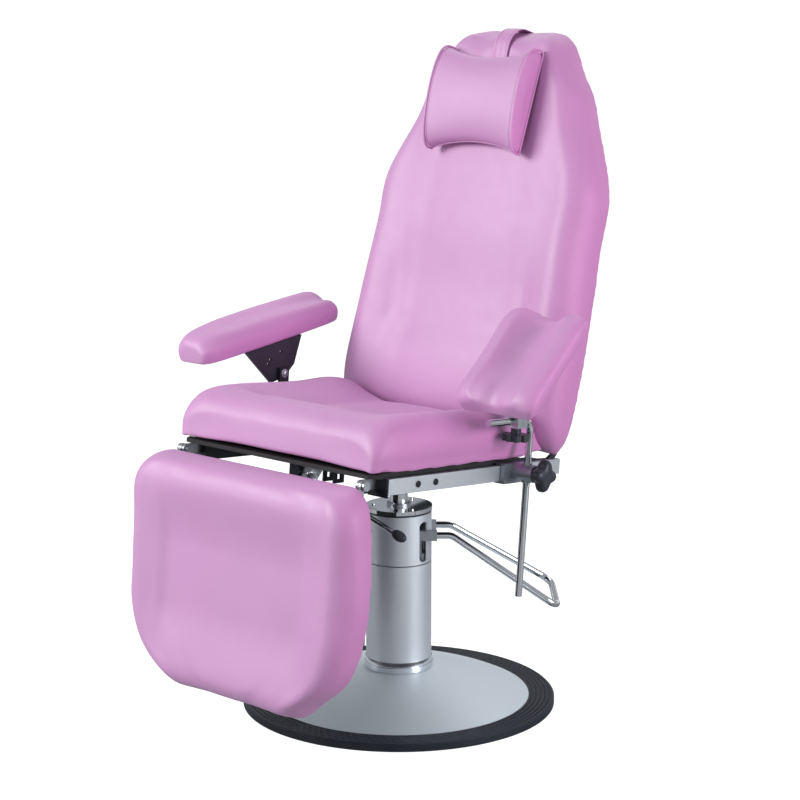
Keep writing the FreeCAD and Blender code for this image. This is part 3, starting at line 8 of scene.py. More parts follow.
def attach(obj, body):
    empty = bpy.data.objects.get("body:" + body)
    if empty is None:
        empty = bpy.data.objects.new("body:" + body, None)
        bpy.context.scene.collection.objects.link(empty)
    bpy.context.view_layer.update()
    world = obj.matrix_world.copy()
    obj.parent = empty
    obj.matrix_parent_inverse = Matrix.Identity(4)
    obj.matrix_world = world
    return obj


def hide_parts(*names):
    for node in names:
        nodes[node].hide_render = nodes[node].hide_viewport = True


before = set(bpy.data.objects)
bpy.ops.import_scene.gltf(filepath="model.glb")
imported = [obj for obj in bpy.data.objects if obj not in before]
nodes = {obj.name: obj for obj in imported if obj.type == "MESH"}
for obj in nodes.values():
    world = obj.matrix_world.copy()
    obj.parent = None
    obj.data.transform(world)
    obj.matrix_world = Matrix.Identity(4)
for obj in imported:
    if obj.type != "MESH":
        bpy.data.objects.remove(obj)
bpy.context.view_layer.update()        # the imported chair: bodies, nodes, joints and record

scene = bpy.context.scene
print("frame loaded:", len(nodes), "nodes")

# the tilted groups of the chair, as the frame has them
chair = {"seatHeight": 0.532, "seatTilt": 5.24, "backLean": 16.3, "armPitch": 12.1, "trayPitch": 46.8,
         "legHinge": (0, -0.366, -0.012), "backHinge": (0, 0.178, -0.012),
         "armPivot": (0, -0.049, 0.116), "trayPivot": (0.3, -0.003, 0.155)}


def turned(degrees, place):
    return Matrix.Translation(place) @ Matrix.Rotation(math.radians(degrees), 4, "X")


seatFrame = turned(-chair["seatTilt"], (0, 0, chair["seatHeight"]))
legFrame = turned(-chair["seatTilt"], seatFrame @ Vector(chair["legHinge"]))
backFrame = turned(-chair["backLean"], seatFrame @ Vector(chair["backHinge"]))
armFrame = turned(chair["armPitch"] - chair["seatTilt"], seatFrame @ Vector(chair["armPivot"]))
trayFrame = turned(chair["trayPitch"] - chair["seatTilt"], seatFrame @ Vector(chair["trayPivot"]))


# small tools
def linkPiece(name, mesh):
    piece = bpy.data.objects.new(name, mesh)
    scene.collection.objects.link(piece)
    return piece


def smoothFaces(mesh):
    mesh.polygons.foreach_set("use_smooth", [True] * len(mesh.polygons))
    mesh.update()


def readPoints(mesh):
    flat = np.empty(len(mesh.vertices) * 3, np.float64)
    mesh.vertices.foreach_get("co", flat)
    return flat.reshape(-1, 3)


def writePoints(mesh, points):
    mesh.vertices.foreach_set("co", np.asarray(points, np.float32).ravel())
    mesh.update()


def applied(piece):  # the mesh that the modifiers give
    bpy.context.view_layer.update()
    seen = piece.evaluated_get(bpy.context.evaluated_depsgraph_get())
    return bpy.data.meshes.new_from_object(seen)


def takeMesh(piece, mesh):
    old = piece.data
    piece.modifiers.clear()
    piece.data = mesh
    bpy.data.meshes.remove(old)


def skinRings(form, rings, closed=False):  # quads between rings of points
    pairs = list(zip(rings, rings[1:])) + ([(rings[-1], rings[0])] if closed else [])
    for one, two in pairs:
        for k in range(len(one)):
            after = (k + 1) % len(one)
            form.faces.new((one[k], one[after], two[after], two[k]))


def capRings(form, rings):
    form.faces.new(rings[0][::-1])
    form.faces.new(rings[-1])


def meshFrom(name, form, outward=True):
    if outward:
        bmesh.ops.recalc_face_normals(form, faces=form.faces)
    mesh = bpy.data.meshes.new(name)
    form.to_mesh(mesh)
    form.free()
    return mesh


def easeStep(low, high, value):
    share = np.clip((value - low) / (high - low), 0, 1)
    return share * share * (3 - 2 * share)


def hump(value, middle, width):
    return np.exp(-((value - middle) / width) ** 2)


def toLocal(points, place):
    inverse = np.array(place.inverted())
    return points @ inverse[:3, :3].T + inverse[:3, 3]


def toWorld(points, place):
    matrix = np.array(place)
    return points @ matrix[:3, :3].T + matrix[:3, 3]


# finishes
def startFinish(name):
    finish = bpy.data.materials.new(name)
    finish.use_nodes = True
    tree = finish.node_tree
    shader = tree.nodes["Principled BSDF"]
    return finish, tree, shader


def addNode(tree, kind, **values):
    node = tree.nodes.new(kind)
    for key, value in values.items():
        if key in node.inputs:
            node.inputs[key].default_value = value
        else:
            setattr(node, key, value)
    return node


def placeNode(tree, stretch=(1, 1, 1)):
    where = tree.nodes.new("ShaderNodeTexCoord")
    mapping = addNode(tree, "ShaderNodeMapping", Scale=stretch)
    tree.links.new(where.outputs["Object"], mapping.inputs["Vector"])
    return mapping.outputs["Vector"]


def noiseNode(tree, place, scale, detail=4, rough=0.55):
    noise = addNode(tree, "ShaderNodeTexNoise", Scale=scale, Detail=detail, Roughness=rough)
    tree.links.new(place, noise.inputs["Vector"])
    return noise.outputs["Fac"]


def rampNode(tree, source, stops):
    ramp = tree.nodes.new("ShaderNodeValToRGB")
    bar = ramp.color_ramp
    for i, (where, colour) in enumerate(stops):
        stop = bar.elements[i] if i < 2 else bar.elements.new(where)
        stop.position = where
        stop.color = (*colour, 1)
    tree.links.new(source, ramp.inputs["Fac"])
    return ramp.outputs["Color"]


def rangeNode(tree, source, low, high, fromLow=0.0, fromHigh=1.0):
    ends = {"From Min": fromLow, "From Max": fromHigh, "To Min": low, "To Max": high}
    span = addNode(tree, "ShaderNodeMapRange", **ends)
    tree.links.new(source, span.inputs["Value"])
    return span.outputs["Result"]


def bumpNode(tree, source, strength, depth, under=None):
    bump = addNode(tree, "ShaderNodeBump", Strength=strength, Distance=depth)
    tree.links.new(source, bump.inputs["Height"])
    if under:
        tree.links.new(under, bump.inputs["Normal"])
    return bump.outputs["Normal"]


def vinylFinish(name, pale, deep, grain=0.22):
    finish, tree, shader = startFinish(name)
    place = placeNode(tree)
    cloud = noiseNode(tree, place, 5, 3)
    tree.links.new(rampNode(tree, cloud, [(0.3, deep), (0.7, pale)]), shader.inputs["Base Color"])
    pores = addNode(tree, "ShaderNodeTexVoronoi", Scale=620, feature="DISTANCE_TO_EDGE")
    tree.links.new(place, pores.inputs["Vector"])
    crease = rangeNode(tree, pores.outputs["Distance"], 0, 1, 0, 0.25)
    fine = noiseNode(tree, place, 240, 5, 0.6)
    low = bumpNode(tree, fine, 0.10, 0.0006)
    tree.links.new(bumpNode(tree, crease, grain, 0.00025, low), shader.inputs["Normal"])
    tree.links.new(rangeNode(tree, noiseNode(tree, place, 38, 4), 0.46, 0.58), shader.inputs["Roughness"])
    shader.inputs["Specular IOR Level"].default_value = 1.0
    shader.inputs["Sheen Weight"].default_value = 0.14
    shader.inputs["Sheen Roughness"].default_value = 0.45
    shader.inputs["Sheen Tint"].default_value = (1.0, 0.86, 0.98, 1)
    return finish


def metalFinish(name, colours, rough, stretch=(1, 1, 1), scale=60, bump=0.05, depth=0.0002, metal=1.0):
    finish, tree, shader = startFinish(name)
    place = placeNode(tree, stretch)
    grain = noiseNode(tree, place, scale, 6, 0.65)
    tree.links.new(rampNode(tree, grain, [(0.25, colours[0]), (0.75, colours[1])]), shader.inputs["Base Color"])
    tree.links.new(rangeNode(tree, grain, rough[0], rough[1]), shader.inputs["Roughness"])
    tree.links.new(bumpNode(tree, grain, bump, depth), shader.inputs["Normal"])
    shader.inputs["Metallic"].default_value = metal
    return finish


def mouldedFinish(name, colours, rough, scale=700, bump=0.12, depth=0.0003, spec=0.45):
    finish, tree, shader = startFinish(name)
    place = placeNode(tree)
    dust = noiseNode(tree, place, 14, 4)
    tree.links.new(rampNode(tree, dust, [(0.3, colours[0]), (0.75, colours[1])]), shader.inputs["Base Color"])
    grain = noiseNode(tree, place, scale, 3, 0.6)
    tree.links.new(rangeNode(tree, dust, rough[0], rough[1]), shader.inputs["Roughness"])
    tree.links.new(bumpNode(tree, grain, bump, depth), shader.inputs["Normal"])
    shader.inputs["Specular IOR Level"].default_value = spec
    return finish


pinkVinyl = vinylFinish("pinkVinyl", (0.605, 0.303, 0.565), (0.580, 0.281, 0.538))
strapVinyl = vinylFinish("strapVinyl", (0.63, 0.31, 0.58), (0.58, 0.27, 0.53), 0.3)
pipingVinyl = vinylFinish("pipingVinyl", (0.65, 0.33, 0.60), (0.61, 0.29, 0.56), 0.12)
# stitch thread darker than the vinyl: partly the thread's own tone, partly painted shade of the sunk stitch channels
stitchThread = mouldedFinish("stitchThread", [(0.48, 0.21, 0.42), (0.58, 0.28, 0.52)], (0.6, 0.75), 2400, 0.4)
metalFinish("satinSteel", [(0.74, 0.78, 0.84), (0.82, 0.86, 0.91)], (0.38, 0.50), (6, 6, 260), 12, 0.03,
            metal=0.8)
metalFinish("domeSteel", [(0.76, 0.83, 0.88), (0.82, 0.88, 0.92)], (0.50, 0.62), (40, 40, 40), 12, 0.03,
            metal=0.55)
metalFinish("railSteel", [(0.66, 0.69, 0.74), (0.78, 0.80, 0.84)], (0.34, 0.48), (160, 4, 160), 10, 0.03)
metalFinish("brightChrome", [(0.74, 0.76, 0.80), (0.80, 0.82, 0.85)], (0.06, 0.11), (1, 1, 1), 30, 0.01)
zincSteel = metalFinish("zincSteel", [(0.44, 0.46, 0.50), (0.58, 0.60, 0.64)], (0.28, 0.42), (1, 1, 1), 90, 0.06)
metalFinish("castGrey", [(0.30, 0.32, 0.36), (0.42, 0.44, 0.48)], (0.36, 0.5), (1, 1, 1), 160, 0.2, 0.0004)
metalFinish("forgedGrey", [(0.40, 0.43, 0.47), (0.52, 0.55, 0.59)], (0.36, 0.5), (1, 1, 1), 140, 0.25, 0.0004)
metalFinish("darkBolt", [(0.045, 0.047, 0.055), (0.08, 0.082, 0.092)], (0.3, 0.44), (1, 1, 1), 120, 0.1)
mouldedFinish("blackFrame", [(0.010, 0.012, 0.019), (0.018, 0.021, 0.031)], (0.32, 0.42), 420, 0.10)
blackPlastic = mouldedFinish("blackPlastic", [(0.020, 0.022, 0.030), (0.030, 0.033, 0.044)], (0.36, 0.48), 900, 0.12)
mouldedFinish("blackRubber", [(0.010, 0.013, 0.022), (0.019, 0.023, 0.036)], (0.48, 0.62), 520, 0.2, 0.0004)
mouldedFinish("stainedBoard", [(0.012, 0.011, 0.012), (0.022, 0.020, 0.021)], (0.45, 0.6), 160, 0.15)

worn = {
    "satinSteel": ["lower_shroud", "upper_shroud"],
    "domeSteel": ["base_dome"],
    "railSteel": ["left_rail", "right_rail"],
    "brightChrome": ["foot_ring", "column_cap", "cap_screws", "ram", "pedal_loop", "arm_post", "lever_rod",
                     "spring_rod"],
    "zincSteel": ["hinge_pins", "leg_hinge_ears", "back_hinge_ears", "leg_hinge_leaves", "lever_lug", "tray_clamp",
                  "pump_plunger", "ram_guide"],
    "castGrey": ["rail_clamp", "post_bush"],
    "forgedGrey": ["pedal_rocker", "base_plate", "pump_block"],
    "darkBolt": ["rail_bolts"],
    "blackFrame": ["swivel_hub", "mount_plate", "left_side_tube", "right_side_tube", "cross_tubes", "back_arms",
                   "back_cranks", "leg_crank", "sync_rod", "spring_barrel", "spring_hanger", "lever_hanger",
                   "armrest_support", "armrest_plate", "pump_tank"],
    "blackPlastic": ["tray_knob", "lever_knob", "back_panel", "tray_board"],
    "blackRubber": ["floor_ring", "cap_seal"],
    "stainedBoard": ["seat_board", "leg_board"],
}
for finishName, names in worn.items():
    for name in names:
        nodes[name].data.materials.clear()
        nodes[name].data.materials.append(bpy.data.materials[finishName])
print("finishes on", sum(len(names) for names in worn.values()), "frame nodes")


# upholstery: foam form from the frame's solid, remeshed, drawn in, then blown up as cloth
def foamCopy(name, nodeName, spec):
    piece = linkPiece(name, nodes[nodeName].data.copy())
    piece.data.materials.clear()
    remesh = piece.modifiers.new("skin", "REMESH")
    remesh.mode = "VOXEL"
    remesh.voxel_size = spec["voxel"]
    takeMesh(piece, applied(piece))
    relax(piece, spec["soften"])
    points = readPoints(piece.data)
    flat = np.empty(len(points) * 3)
    piece.data.vertices.foreach_get("normal", flat)
    writePoints(piece.data, points - spec["drawIn"] * flat.reshape(-1, 3))
    return piece


def relax(piece, rounds):
    soften = piece.modifiers.new("soften", "SMOOTH")
    soften.factor = 0.5
    soften.iterations = rounds
    takeMesh(piece, applied(piece))


def evenOut(mesh, vectors, rounds):  # averages the swelling with its neighbours, so it has no lumps
    edges = np.empty(len(mesh.edges) * 2, np.int64)
    mesh.edges.foreach_get("vertices", edges)
    a, b = edges[0::2], edges[1::2]
    count = len(mesh.vertices)
    near = np.bincount(a, minlength=count) + np.bincount(b, minlength=count)
    for step in range(rounds):
        mean = np.empty_like(vectors)
        for k in range(3):
            mean[:, k] = np.bincount(a, vectors[b, k], count) + np.bincount(b, vectors[a, k], count)
        vectors = 0.5 * vectors + 0.5 * mean / np.maximum(near, 1)[:, None]
    return vectors


clothCover = {"quality": 4, "mass": 0.3, "stiffness": 22, "steps": 20}


def blowUp(piece, spec, place, rests):  # rests says which spots stay on the board
    start = readPoints(piece.data).copy()
    group = piece.vertex_groups.new(name="held")
    group.add([int(i) for i in np.nonzero(rests(toLocal(start, place)))[0]], 1.0, "REPLACE")
    cloth = piece.modifiers.new("cloth", "CLOTH")
    fabric = cloth.settings
    fabric.quality = clothCover["quality"]
    fabric.mass = clothCover["mass"]
    fabric.tension_stiffness = fabric.compression_stiffness = clothCover["stiffness"]
    fabric.bending_stiffness = spec["bend"]
    fabric.use_pressure = True
    fabric.uniform_pressure_force = spec["pressure"]
    fabric.vertex_group_mass = "held"
    fabric.effector_weights.gravity = 0
    for step in range(1, clothCover["steps"] + 1):
        scene.frame_set(step)
    blown = applied(piece)
    moved = readPoints(blown) - start
    scene.frame_set(1)
    bpy.data.meshes.remove(blown)
    piece.modifiers.clear()
    piece.vertex_groups.clear()
    length = np.linalg.norm(moved, axis=1, keepdims=True)
    moved *= np.minimum(1, spec["cap"] / np.maximum(length, 1e-9))
    writePoints(piece.data, start + evenOut(piece.data, moved, spec["even"]))
    print(piece.name, "blown up: mean %.1f mm, most %.1f mm" % (length.mean() * 1000, length.max() * 1000))


def fitTo(local, target):  # keeps the swollen form in the room that the frame gives it
    low, high = local.min(0), local.max(0)
    want, top = target.min(0), target.max(0)
    return want + (local - low) * (top - want) / (high - low)


def outside(points, corners):  # how far points lie outside a board's outline, negative inside
    far = np.full(len(points), -1e9)
    for (ax, ay), (bx, by) in zip(corners, corners[1:] + corners[:1]):
        run = math.hypot(bx - ax, by - ay)
        far = np.maximum(far, ((by - ay) * (points[:, 0] - ax) - (bx - ax) * (points[:, 1] - ay)) / run)
    return far


# how much each spot grows, to stand as high as the rolls beside it
def levelGain(p, along, height, middle=0.0, cell=0.010, thin=0.002, most=4):
    place = np.stack([p[:, 0] - middle, p[:, along]], 1)
    place = (place - place.min(0)) / cell
    i, j = place.astype(int).T
    tops = np.zeros((i.max() + 1, j.max() + 1))
    np.maximum.at(tops, (i, j), height)
    beside = np.pad(tops, 1)
    acrossMost = np.maximum(beside[:-2, 1:-1], beside[2:, 1:-1])
    beside = np.maximum(acrossMost, np.maximum(beside[1:-1, :-2], beside[1:-1, 2:]))
    tops = np.where(tops > 0, tops, beside)
    gain = np.ones_like(tops)
    half = len(tops) // 2
    for k, line in enumerate(tops.T):
        left, right = int(line[:half].argmax()), half + int(line[half:].argmax())
        crest = np.linspace(line[left], line[right], right - left + 1)
        gain[left:right + 1, k] = np.clip(crest / np.maximum(line[left:right + 1], thin), 1, most)
    for step in range(3):
        wide = np.pad(gain, 1, mode="edge")
        gain = sum(wide[a:a + gain.shape[0], b:b + gain.shape[1]] for a in range(3) for b in range(3)) / 9
    spot = np.clip(place - 0.5, 0, np.array(gain.shape) - 1.001)
    i, j = spot.astype(int).T
    s, t = (spot - spot.astype(int)).T
    near = gain[i, j] * (1 - s) + gain[i + 1, j] * s
    far = gain[i, j + 1] * (1 - s) + gain[i + 1, j + 1] * s
    return near * (1 - t) + far * t


def finishPad(piece, body, nodeName, shape, place, spec):
    local = toLocal(readPoints(piece.data), place)
    local = shape(fitTo(local, toLocal(readPoints(nodes[nodeName].data), place)))
    writePoints(piece.data, toWorld(local, place))
    relax(piece, spec["settle"])
    eased = fitTo(toLocal(readPoints(piece.data), place), local)      # smoothing takes no size away
    writePoints(piece.data, toWorld(eased, place))
    smoothFaces(piece.data)
    piece.data.materials.clear()
    piece.data.materials.append(pinkVinyl)
    fine = piece.modifiers.new("fine", "SUBSURF")
    fine.levels = 1
    fine.render_levels = 1
    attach(piece, body)
    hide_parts(nodeName)
    print(piece.name, len(piece.data.vertices), "points")


def mirrored(half):  # right-hand corners, bottom to top, and their mirror images
    return half + [(-x, y) for x, y in reversed(half)]


seatPad = {"voxel": 0.006, "soften": 4, "drawIn": 0.004, "bend": 0.6, "pressure": 4, "cap": 0.008, "even": 40,
           "settle": 3, "held": 0.016, "margin": 0.006,
           "board": mirrored([(0.242, -0.358), (0.259, -0.333), (0.246, 0.084)]),
           "skirt": 0.008, "nose": (-0.205, -0.295), "crown": (0.045, 0.065),
           "dish": 0.006, "dishWide": (0.17, 0.10), "dishFront": (-0.25, -0.17), "dishRear": (0.10, 0.02),
           "rim": (0.03, 0.009), "rimOut": (0.0, 0.004), "rimRear": (0.10, 0.07), "rimFront": (-0.33, -0.35),
           "drawDown": 0.0055, "flare": 0.004, "frontFlare": 0.003}


def shapeSeat(p):
    s = seatPad
    x, y, z = p.T
    top = easeStep(*s["crown"], z)
    rise = np.maximum(z - s["skirt"], 0)
    nose = easeStep(*s["nose"], y)
    z += rise * (levelGain(p, 1, rise) - 1) * nose             # straight roll along the front edge
    z -= (s["dish"] * top * easeStep(*s["dishWide"], np.abs(x)) * easeStep(*s["dishFront"], y)
          * easeStep(*s["dishRear"], y))
    rim = easeStep(*s["rim"], z) * easeStep(*s["rimOut"], outside(p[:, :2], s["board"]))
    rim *= easeStep(*s["rimRear"], y)
    z -= s["drawDown"] * rim                                   # cover drawn down over the board
    x += s["flare"] * rim * np.sign(x)
    y -= s["frontFlare"] * rim * easeStep(*s["rimFront"], y)
    return p


def seatHeld(p):
    return (p[:, 2] < seatPad["held"]) & (outside(p[:, :2], seatPad["board"]) < -seatPad["margin"])


seatCushion = foamCopy("seatCushion", "seat_cushion", seatPad)
blowUp(seatCushion, seatPad, seatFrame, seatHeld)
finishPad(seatCushion, "seat", "seat_cushion", shapeSeat, seatFrame, seatPad)

legPad = {"voxel": 0.006, "soften": 4, "drawIn": 0.004, "bend": 0.6, "pressure": 4, "cap": 0.008, "even": 40,
          "settle": 4, "held": -0.034, "margin": 0.006,
          "board": mirrored([(0.162, -0.431), (0.280, -0.288), (0.280, -0.074), (0.236, -0.010)]),
          "face": (-0.045, -0.07), "skirt": -0.030,
          "panel": 0.005, "panelWide": (0.208, 0.178), "panelTop": (-0.035, -0.17), "panelFoot": (-0.42, -0.28),
          "lift": 0.004, "liftTop": (-0.07, -0.02), "liftRear": (-0.07, -0.035),
          "rim": (-0.055, -0.028), "rimOut": (0.001, 0.005), "wrap": 0.0105}


def shapeLeg(p):
    s = legPad
    x, y, z = p.T
    front = easeStep(*s["face"], y)
    depth = np.maximum(s["skirt"] - y, 0)
    length = easeStep(*s["panelTop"], z) * easeStep(*s["panelFoot"], z)
    y -= depth * (levelGain(p, 2, depth) - 1) * (1 - length)                    # full at both ends
    y += s["panel"] * front * easeStep(*s["panelWide"], np.abs(x)) * length     # sunk panel between the side rolls
    lift = easeStep(*s["liftTop"], z) * easeStep(*s["liftRear"], y)
    z += s["lift"] * lift
    rim = easeStep(*s["rim"], y) * easeStep(*s["rimOut"], outside(p[:, [0, 2]], s["board"]))
    y += s["wrap"] * rim                                                        # cover wrapped round the board's edge
    return p


def legHeld(p):
    return (p[:, 1] > legPad["held"]) & (outside(p[:, [0, 2]], legPad["board"]) < -legPad["margin"])


legCushion = foamCopy("legCushion", "leg_cushion", legPad)
blowUp(legCushion, legPad, legFrame, legHeld)
finishPad(legCushion, "legrest", "leg_cushion", shapeLeg, legFrame, legPad)

backPad = {"voxel": 0.0065, "soften": 4, "drawIn": 0.004, "bend": 0.6, "pressure": 4, "cap": 0.008, "even": 40,
           "settle": 4, "held": -0.008, "margin": 0.006,
           "board": mirrored([(0.249, 0.034), (0.275, 0.110), (0.256, 0.568), (0.128, 0.808), (0.088, 0.850)]),
           "face": (-0.05, -0.075), "hollowWide": (0.225, 0.115), "upper": (0.30, 0.47), "upperFill": 0.010,
           "lumbar": (0.27, 0.17), "lumbarBow": 1.1, "lumbarFill": 0.010,
           "edge": 0.004, "edgeAt": 0.168, "edgeWide": 0.022, "edgeFoot": (0.20, 0.26), "edgeTop": (0.46, 0.32),
           "crest": 0.005, "crestTop": (0.80, 0.855), "crestRear": (-0.06, -0.015),
           "channel": -0.0930, "channelWide": (0.060, 0.028), "channelFoot": (0.60, 0.655),
           "rim": (-0.03, -0.004), "rimOut": (0.001, 0.005), "wrap": 0.0115}


def shapeBack(p):
    s = backPad
    x, y, z = p.T
    front = easeStep(*s["face"], y)
    across = easeStep(*s["hollowWide"], np.abs(x))
    upper = easeStep(*s["upper"], z)
    lumbar = easeStep(*s["lumbar"], z + s["lumbarBow"] * x ** 2)
    y -= front * across * (s["upperFill"] * upper + s["lumbarFill"] * lumbar)   # hollow ends on a lumbar roll
    edge = hump(np.abs(x), s["edgeAt"], s["edgeWide"]) * easeStep(*s["edgeFoot"], z) * easeStep(*s["edgeTop"], z)
    y += s["edge"] * front * edge
    z += s["crest"] * easeStep(*s["crestTop"], z) * easeStep(*s["crestRear"], y)   # full upper edge under the strap
    under = easeStep(*s["channelWide"], np.abs(x)) * easeStep(*s["channelFoot"], z)
    y += under * np.maximum(s["channel"] - y, 0)               # the strap lies in a shallow channel
    rim = easeStep(*s["rim"], y) * easeStep(*s["rimOut"], outside(p[:, [0, 2]], s["board"]))
    y += s["wrap"] * rim
    return p


def backHeld(p):
    return (p[:, 1] > backPad["held"]) & (outside(p[:, [0, 2]], backPad["board"]) < -backPad["margin"])


backCushion = foamCopy("backCushion", "back_cushion", backPad)
blowUp(backCushion, backPad, backFrame, backHeld)
finishPad(backCushion, "backrest", "back_cushion", shapeBack, backFrame, backPad)

armPad = {"voxel": 0.0045, "soften": 3, "drawIn": 0.003, "bend": 0.5, "pressure": 4, "cap": 0.006, "even": 25,
          "settle": 3, "middle": -0.344, "held": 0.071, "crown": (0.088, 0.108), "run": (-0.19, -0.09),
          "gutter": 0.009, "gutterRear": 0.006, "deepen": (0.0, 0.19), "gutterAt": 0.012, "gutterWide": 0.020,
          "ridge": 0.004, "ridgeAt": -0.026, "ridgeWide": 0.018,
          "nose": 0.006, "noseRun": (-0.13, -0.20), "noseWide": (-0.02, 0.05),
          "flat": 0.9, "flatFrom": 0.016, "flatTo": 0.003}


def shapeArm(p):
    s = armPad
    x, y, z = p.T
    across = x - s["middle"]
    top = easeStep(*s["crown"], z)
    run = easeStep(*s["run"], y)
    gutter = s["gutter"] + s["gutterRear"] * easeStep(*s["deepen"], y)
    z -= top * run * gutter * hump(across, s["gutterAt"], s["gutterWide"])   # for the forearm, open at the rear
    z += top * run * s["ridge"] * hump(across, s["ridgeAt"], s["ridgeWide"])
    z -= top * s["nose"] * easeStep(*s["noseRun"], y) * easeStep(*s["noseWide"], across)
    base = z.min()
    flat = easeStep(base + s["flatFrom"], base + s["flatTo"], z)
    z -= s["flat"] * flat * (z - base)                         # flat underside out to a crisp lower edge
    return p


armCushion = foamCopy("armCushion", "armrest_pad", armPad)
blowUp(armCushion, armPad, armFrame, lambda p: p[:, 2] < armPad["held"])
finishPad(armCushion, "armrest", "armrest_pad", shapeArm, armFrame, armPad)

trayPad = {"voxel": 0.0045, "soften": 3, "drawIn": 0.002, "bend": 0.5, "pressure": 2.5, "cap": 0.004, "even": 60,
           "settle": 6, "middle": 0.026, "held": 0.053, "board": mirrored([(0.081, -0.084), (0.081, 0.132)]),
           "crown": (0.0505, 0.0545), "crownIn": (0.006, -0.016), "skirt": 0.049,
           "closed": 0.9, "closing": (0.045, -0.075), "gutter": 0.004, "gutterAt": -0.006, "gutterWide": 0.034,
           "rim": (0.062, 0.051), "rimOut": (0.001, 0.005), "drawDown": 0.0075}


def shapeTray(p):
    s = trayPad
    x, y, z = p.T
    across = x - s["middle"]
    off = outside(np.stack([across, y], 1), s["board"])
    top = easeStep(*s["crown"], z) * easeStep(*s["crownIn"], off)
    closed = s["closed"] * easeStep(*s["closing"], y)
    rise = np.maximum(z - s["skirt"], 0)
    z += rise * (levelGain(p, 1, rise, s["middle"]) - 1) * closed            # the gutter closes at its lower end
    z -= top * (1 - closed) * s["gutter"] * hump(across, s["gutterAt"], s["gutterWide"])
    rim = easeStep(*s["rim"], z) * easeStep(*s["rimOut"], off)
    z -= s["drawDown"] * rim
    return p


trayCushion = foamCopy("trayCushion", "tray_pad", trayPad)
blowUp(trayCushion, trayPad, trayFrame, lambda p: p[:, 2] < trayPad["held"])
finishPad(trayCushion, "tray", "tray_pad", shapeTray, trayFrame, trayPad)

# head pillow: a half round bolster with drawn-in long edges, flat ends and piping
pillow = {"half": 0.1155, "height": 0.216, "depth": 0.062, "taper": 0.30, "back": -0.0990, "centre": 0.706,
          "draw": 0.021, "drawCurve": 0.8, "hang": 0.018, "across": 36, "around": 56,
          "frontShare": 0.68, "backShare": 0.32, "roundTop": 0.46, "roundFoot": 0.55,
          "endRings": (0.82, 0.6, 0.36, 0.14), "endBulge": 0.004, "heldRim": 0.0005, "heldBack": 0.002,
          "bend": 0.4, "pressure": 4, "cap": 0.006, "even": 6,
          "piping": 0.0024, "pipingSteps": 112, "hem": 0.9, "hemOut": 0.0028, "hemSteps": 48,
          "seamIn": 0.006, "seamOut": 0.0006, "seamStart": 0.02, "seamRun": 0.64, "seamSteps": 90,
          "stitch": 0.0026, "thread": 0.00038}


def pillowRim(share, draw):  # one D-shaped section: share 0..1 runs up the round front, then down the flat back
    rise = pillow["height"] / 2 - draw
    if share <= pillow["frontShare"]:
        turn = math.pi * (share / pillow["frontShare"] - 0.5)
        bulge = max(0.0, math.cos(turn)) ** (pillow["roundTop"] if turn > 0 else pillow["roundFoot"])
        bulge *= 1 - pillow["taper"] * (0.5 - 0.5 * math.sin(turn))
        return -pillow["depth"] * bulge * (1 - 2 * draw), rise * math.sin(turn)
    fall = (share - pillow["frontShare"]) / pillow["backShare"]
    return 0.0, rise * (1 - 2 * fall)


def pillowPoint(x, share):
    draw = pillow["draw"] * (1 - (x / pillow["half"]) ** 2) ** pillow["drawCurve"]
    depth, height = pillowRim(share, draw)
    hang = pillow["hang"] * (0.5 - height / pillow["height"])       # the lower edge hangs clear of the backrest
    return Vector((x, pillow["back"] + depth - hang, pillow["centre"] + height))


form = bmesh.new()
rings = []
for i in range(pillow["across"] + 1):
    x = pillow["half"] * (2 * i / pillow["across"] - 1)
    rings.append([form.verts.new(pillowPoint(x, k / pillow["around"])) for k in range(pillow["around"])])
skinRings(form, rings)
for ring, side in ((rings[0], -1), (rings[-1], 1)):      # slightly domed ends
    inner = ring
    middle = sum((v.co for v in ring), Vector()) / len(ring)
    for shrink in pillow["endRings"]:
        bulge = Vector((side * pillow["endBulge"] * (1 - shrink), 0, 0))
        loop = [form.verts.new(middle + (v.co - middle) * shrink + bulge) for v in ring]
        skinRings(form, [inner, loop] if side < 0 else [loop, inner])
        inner = loop
    form.faces.new(inner if side < 0 else inner[::-1])
headPillow = linkPiece("headPillow", meshFrom("headPillow", form))
writePoints(headPillow.data, toWorld(readPoints(headPillow.data), backFrame))


def pillowHeld(p):
    rim = np.abs(np.abs(p[:, 0]) - pillow["half"]) < pillow["heldRim"]
    hang = pillow["hang"] * (0.5 - (p[:, 2] - pillow["centre"]) / pillow["height"])
    return rim | (p[:, 1] > pillow["back"] - hang - pillow["heldBack"])


blowUp(headPillow, pillow, backFrame, pillowHeld)
smoothFaces(headPillow.data)
headPillow.data.materials.append(pinkVinyl)
fine = headPillow.modifiers.new("fine", "SUBSURF")
fine.levels = fine.render_levels = 1
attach(headPillow, "pillow")
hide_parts("headrest_pillow")


def tubeAlong(name, points, radius, finish, closed=False, sides=10):
    form = bmesh.new()
    rings = []
    count = len(points)
    up = None
    for i, point in enumerate(points):
        ahead = points[(i + 1) % count] if closed or i + 1 < count else point
        behind = points[i - 1] if closed or i > 0 else point
        along = (ahead - behind).normalized()
        if up is None:
            up = along.orthogonal().normalized()
        up = (up - along * up.dot(along)).normalized()
        side = along.cross(up)
        turns = [2 * math.pi * k / sides for k in range(sides)]
        rings.append([form.verts.new(point + radius * (math.cos(a) * up + math.sin(a) * side)) for a in turns])
    skinRings(form, rings, closed)
    if not closed:
        capRings(form, rings)
    mesh = meshFrom(name, form)
    smoothFaces(mesh)
    mesh.materials.append(finish)
    return linkPiece(name, mesh)


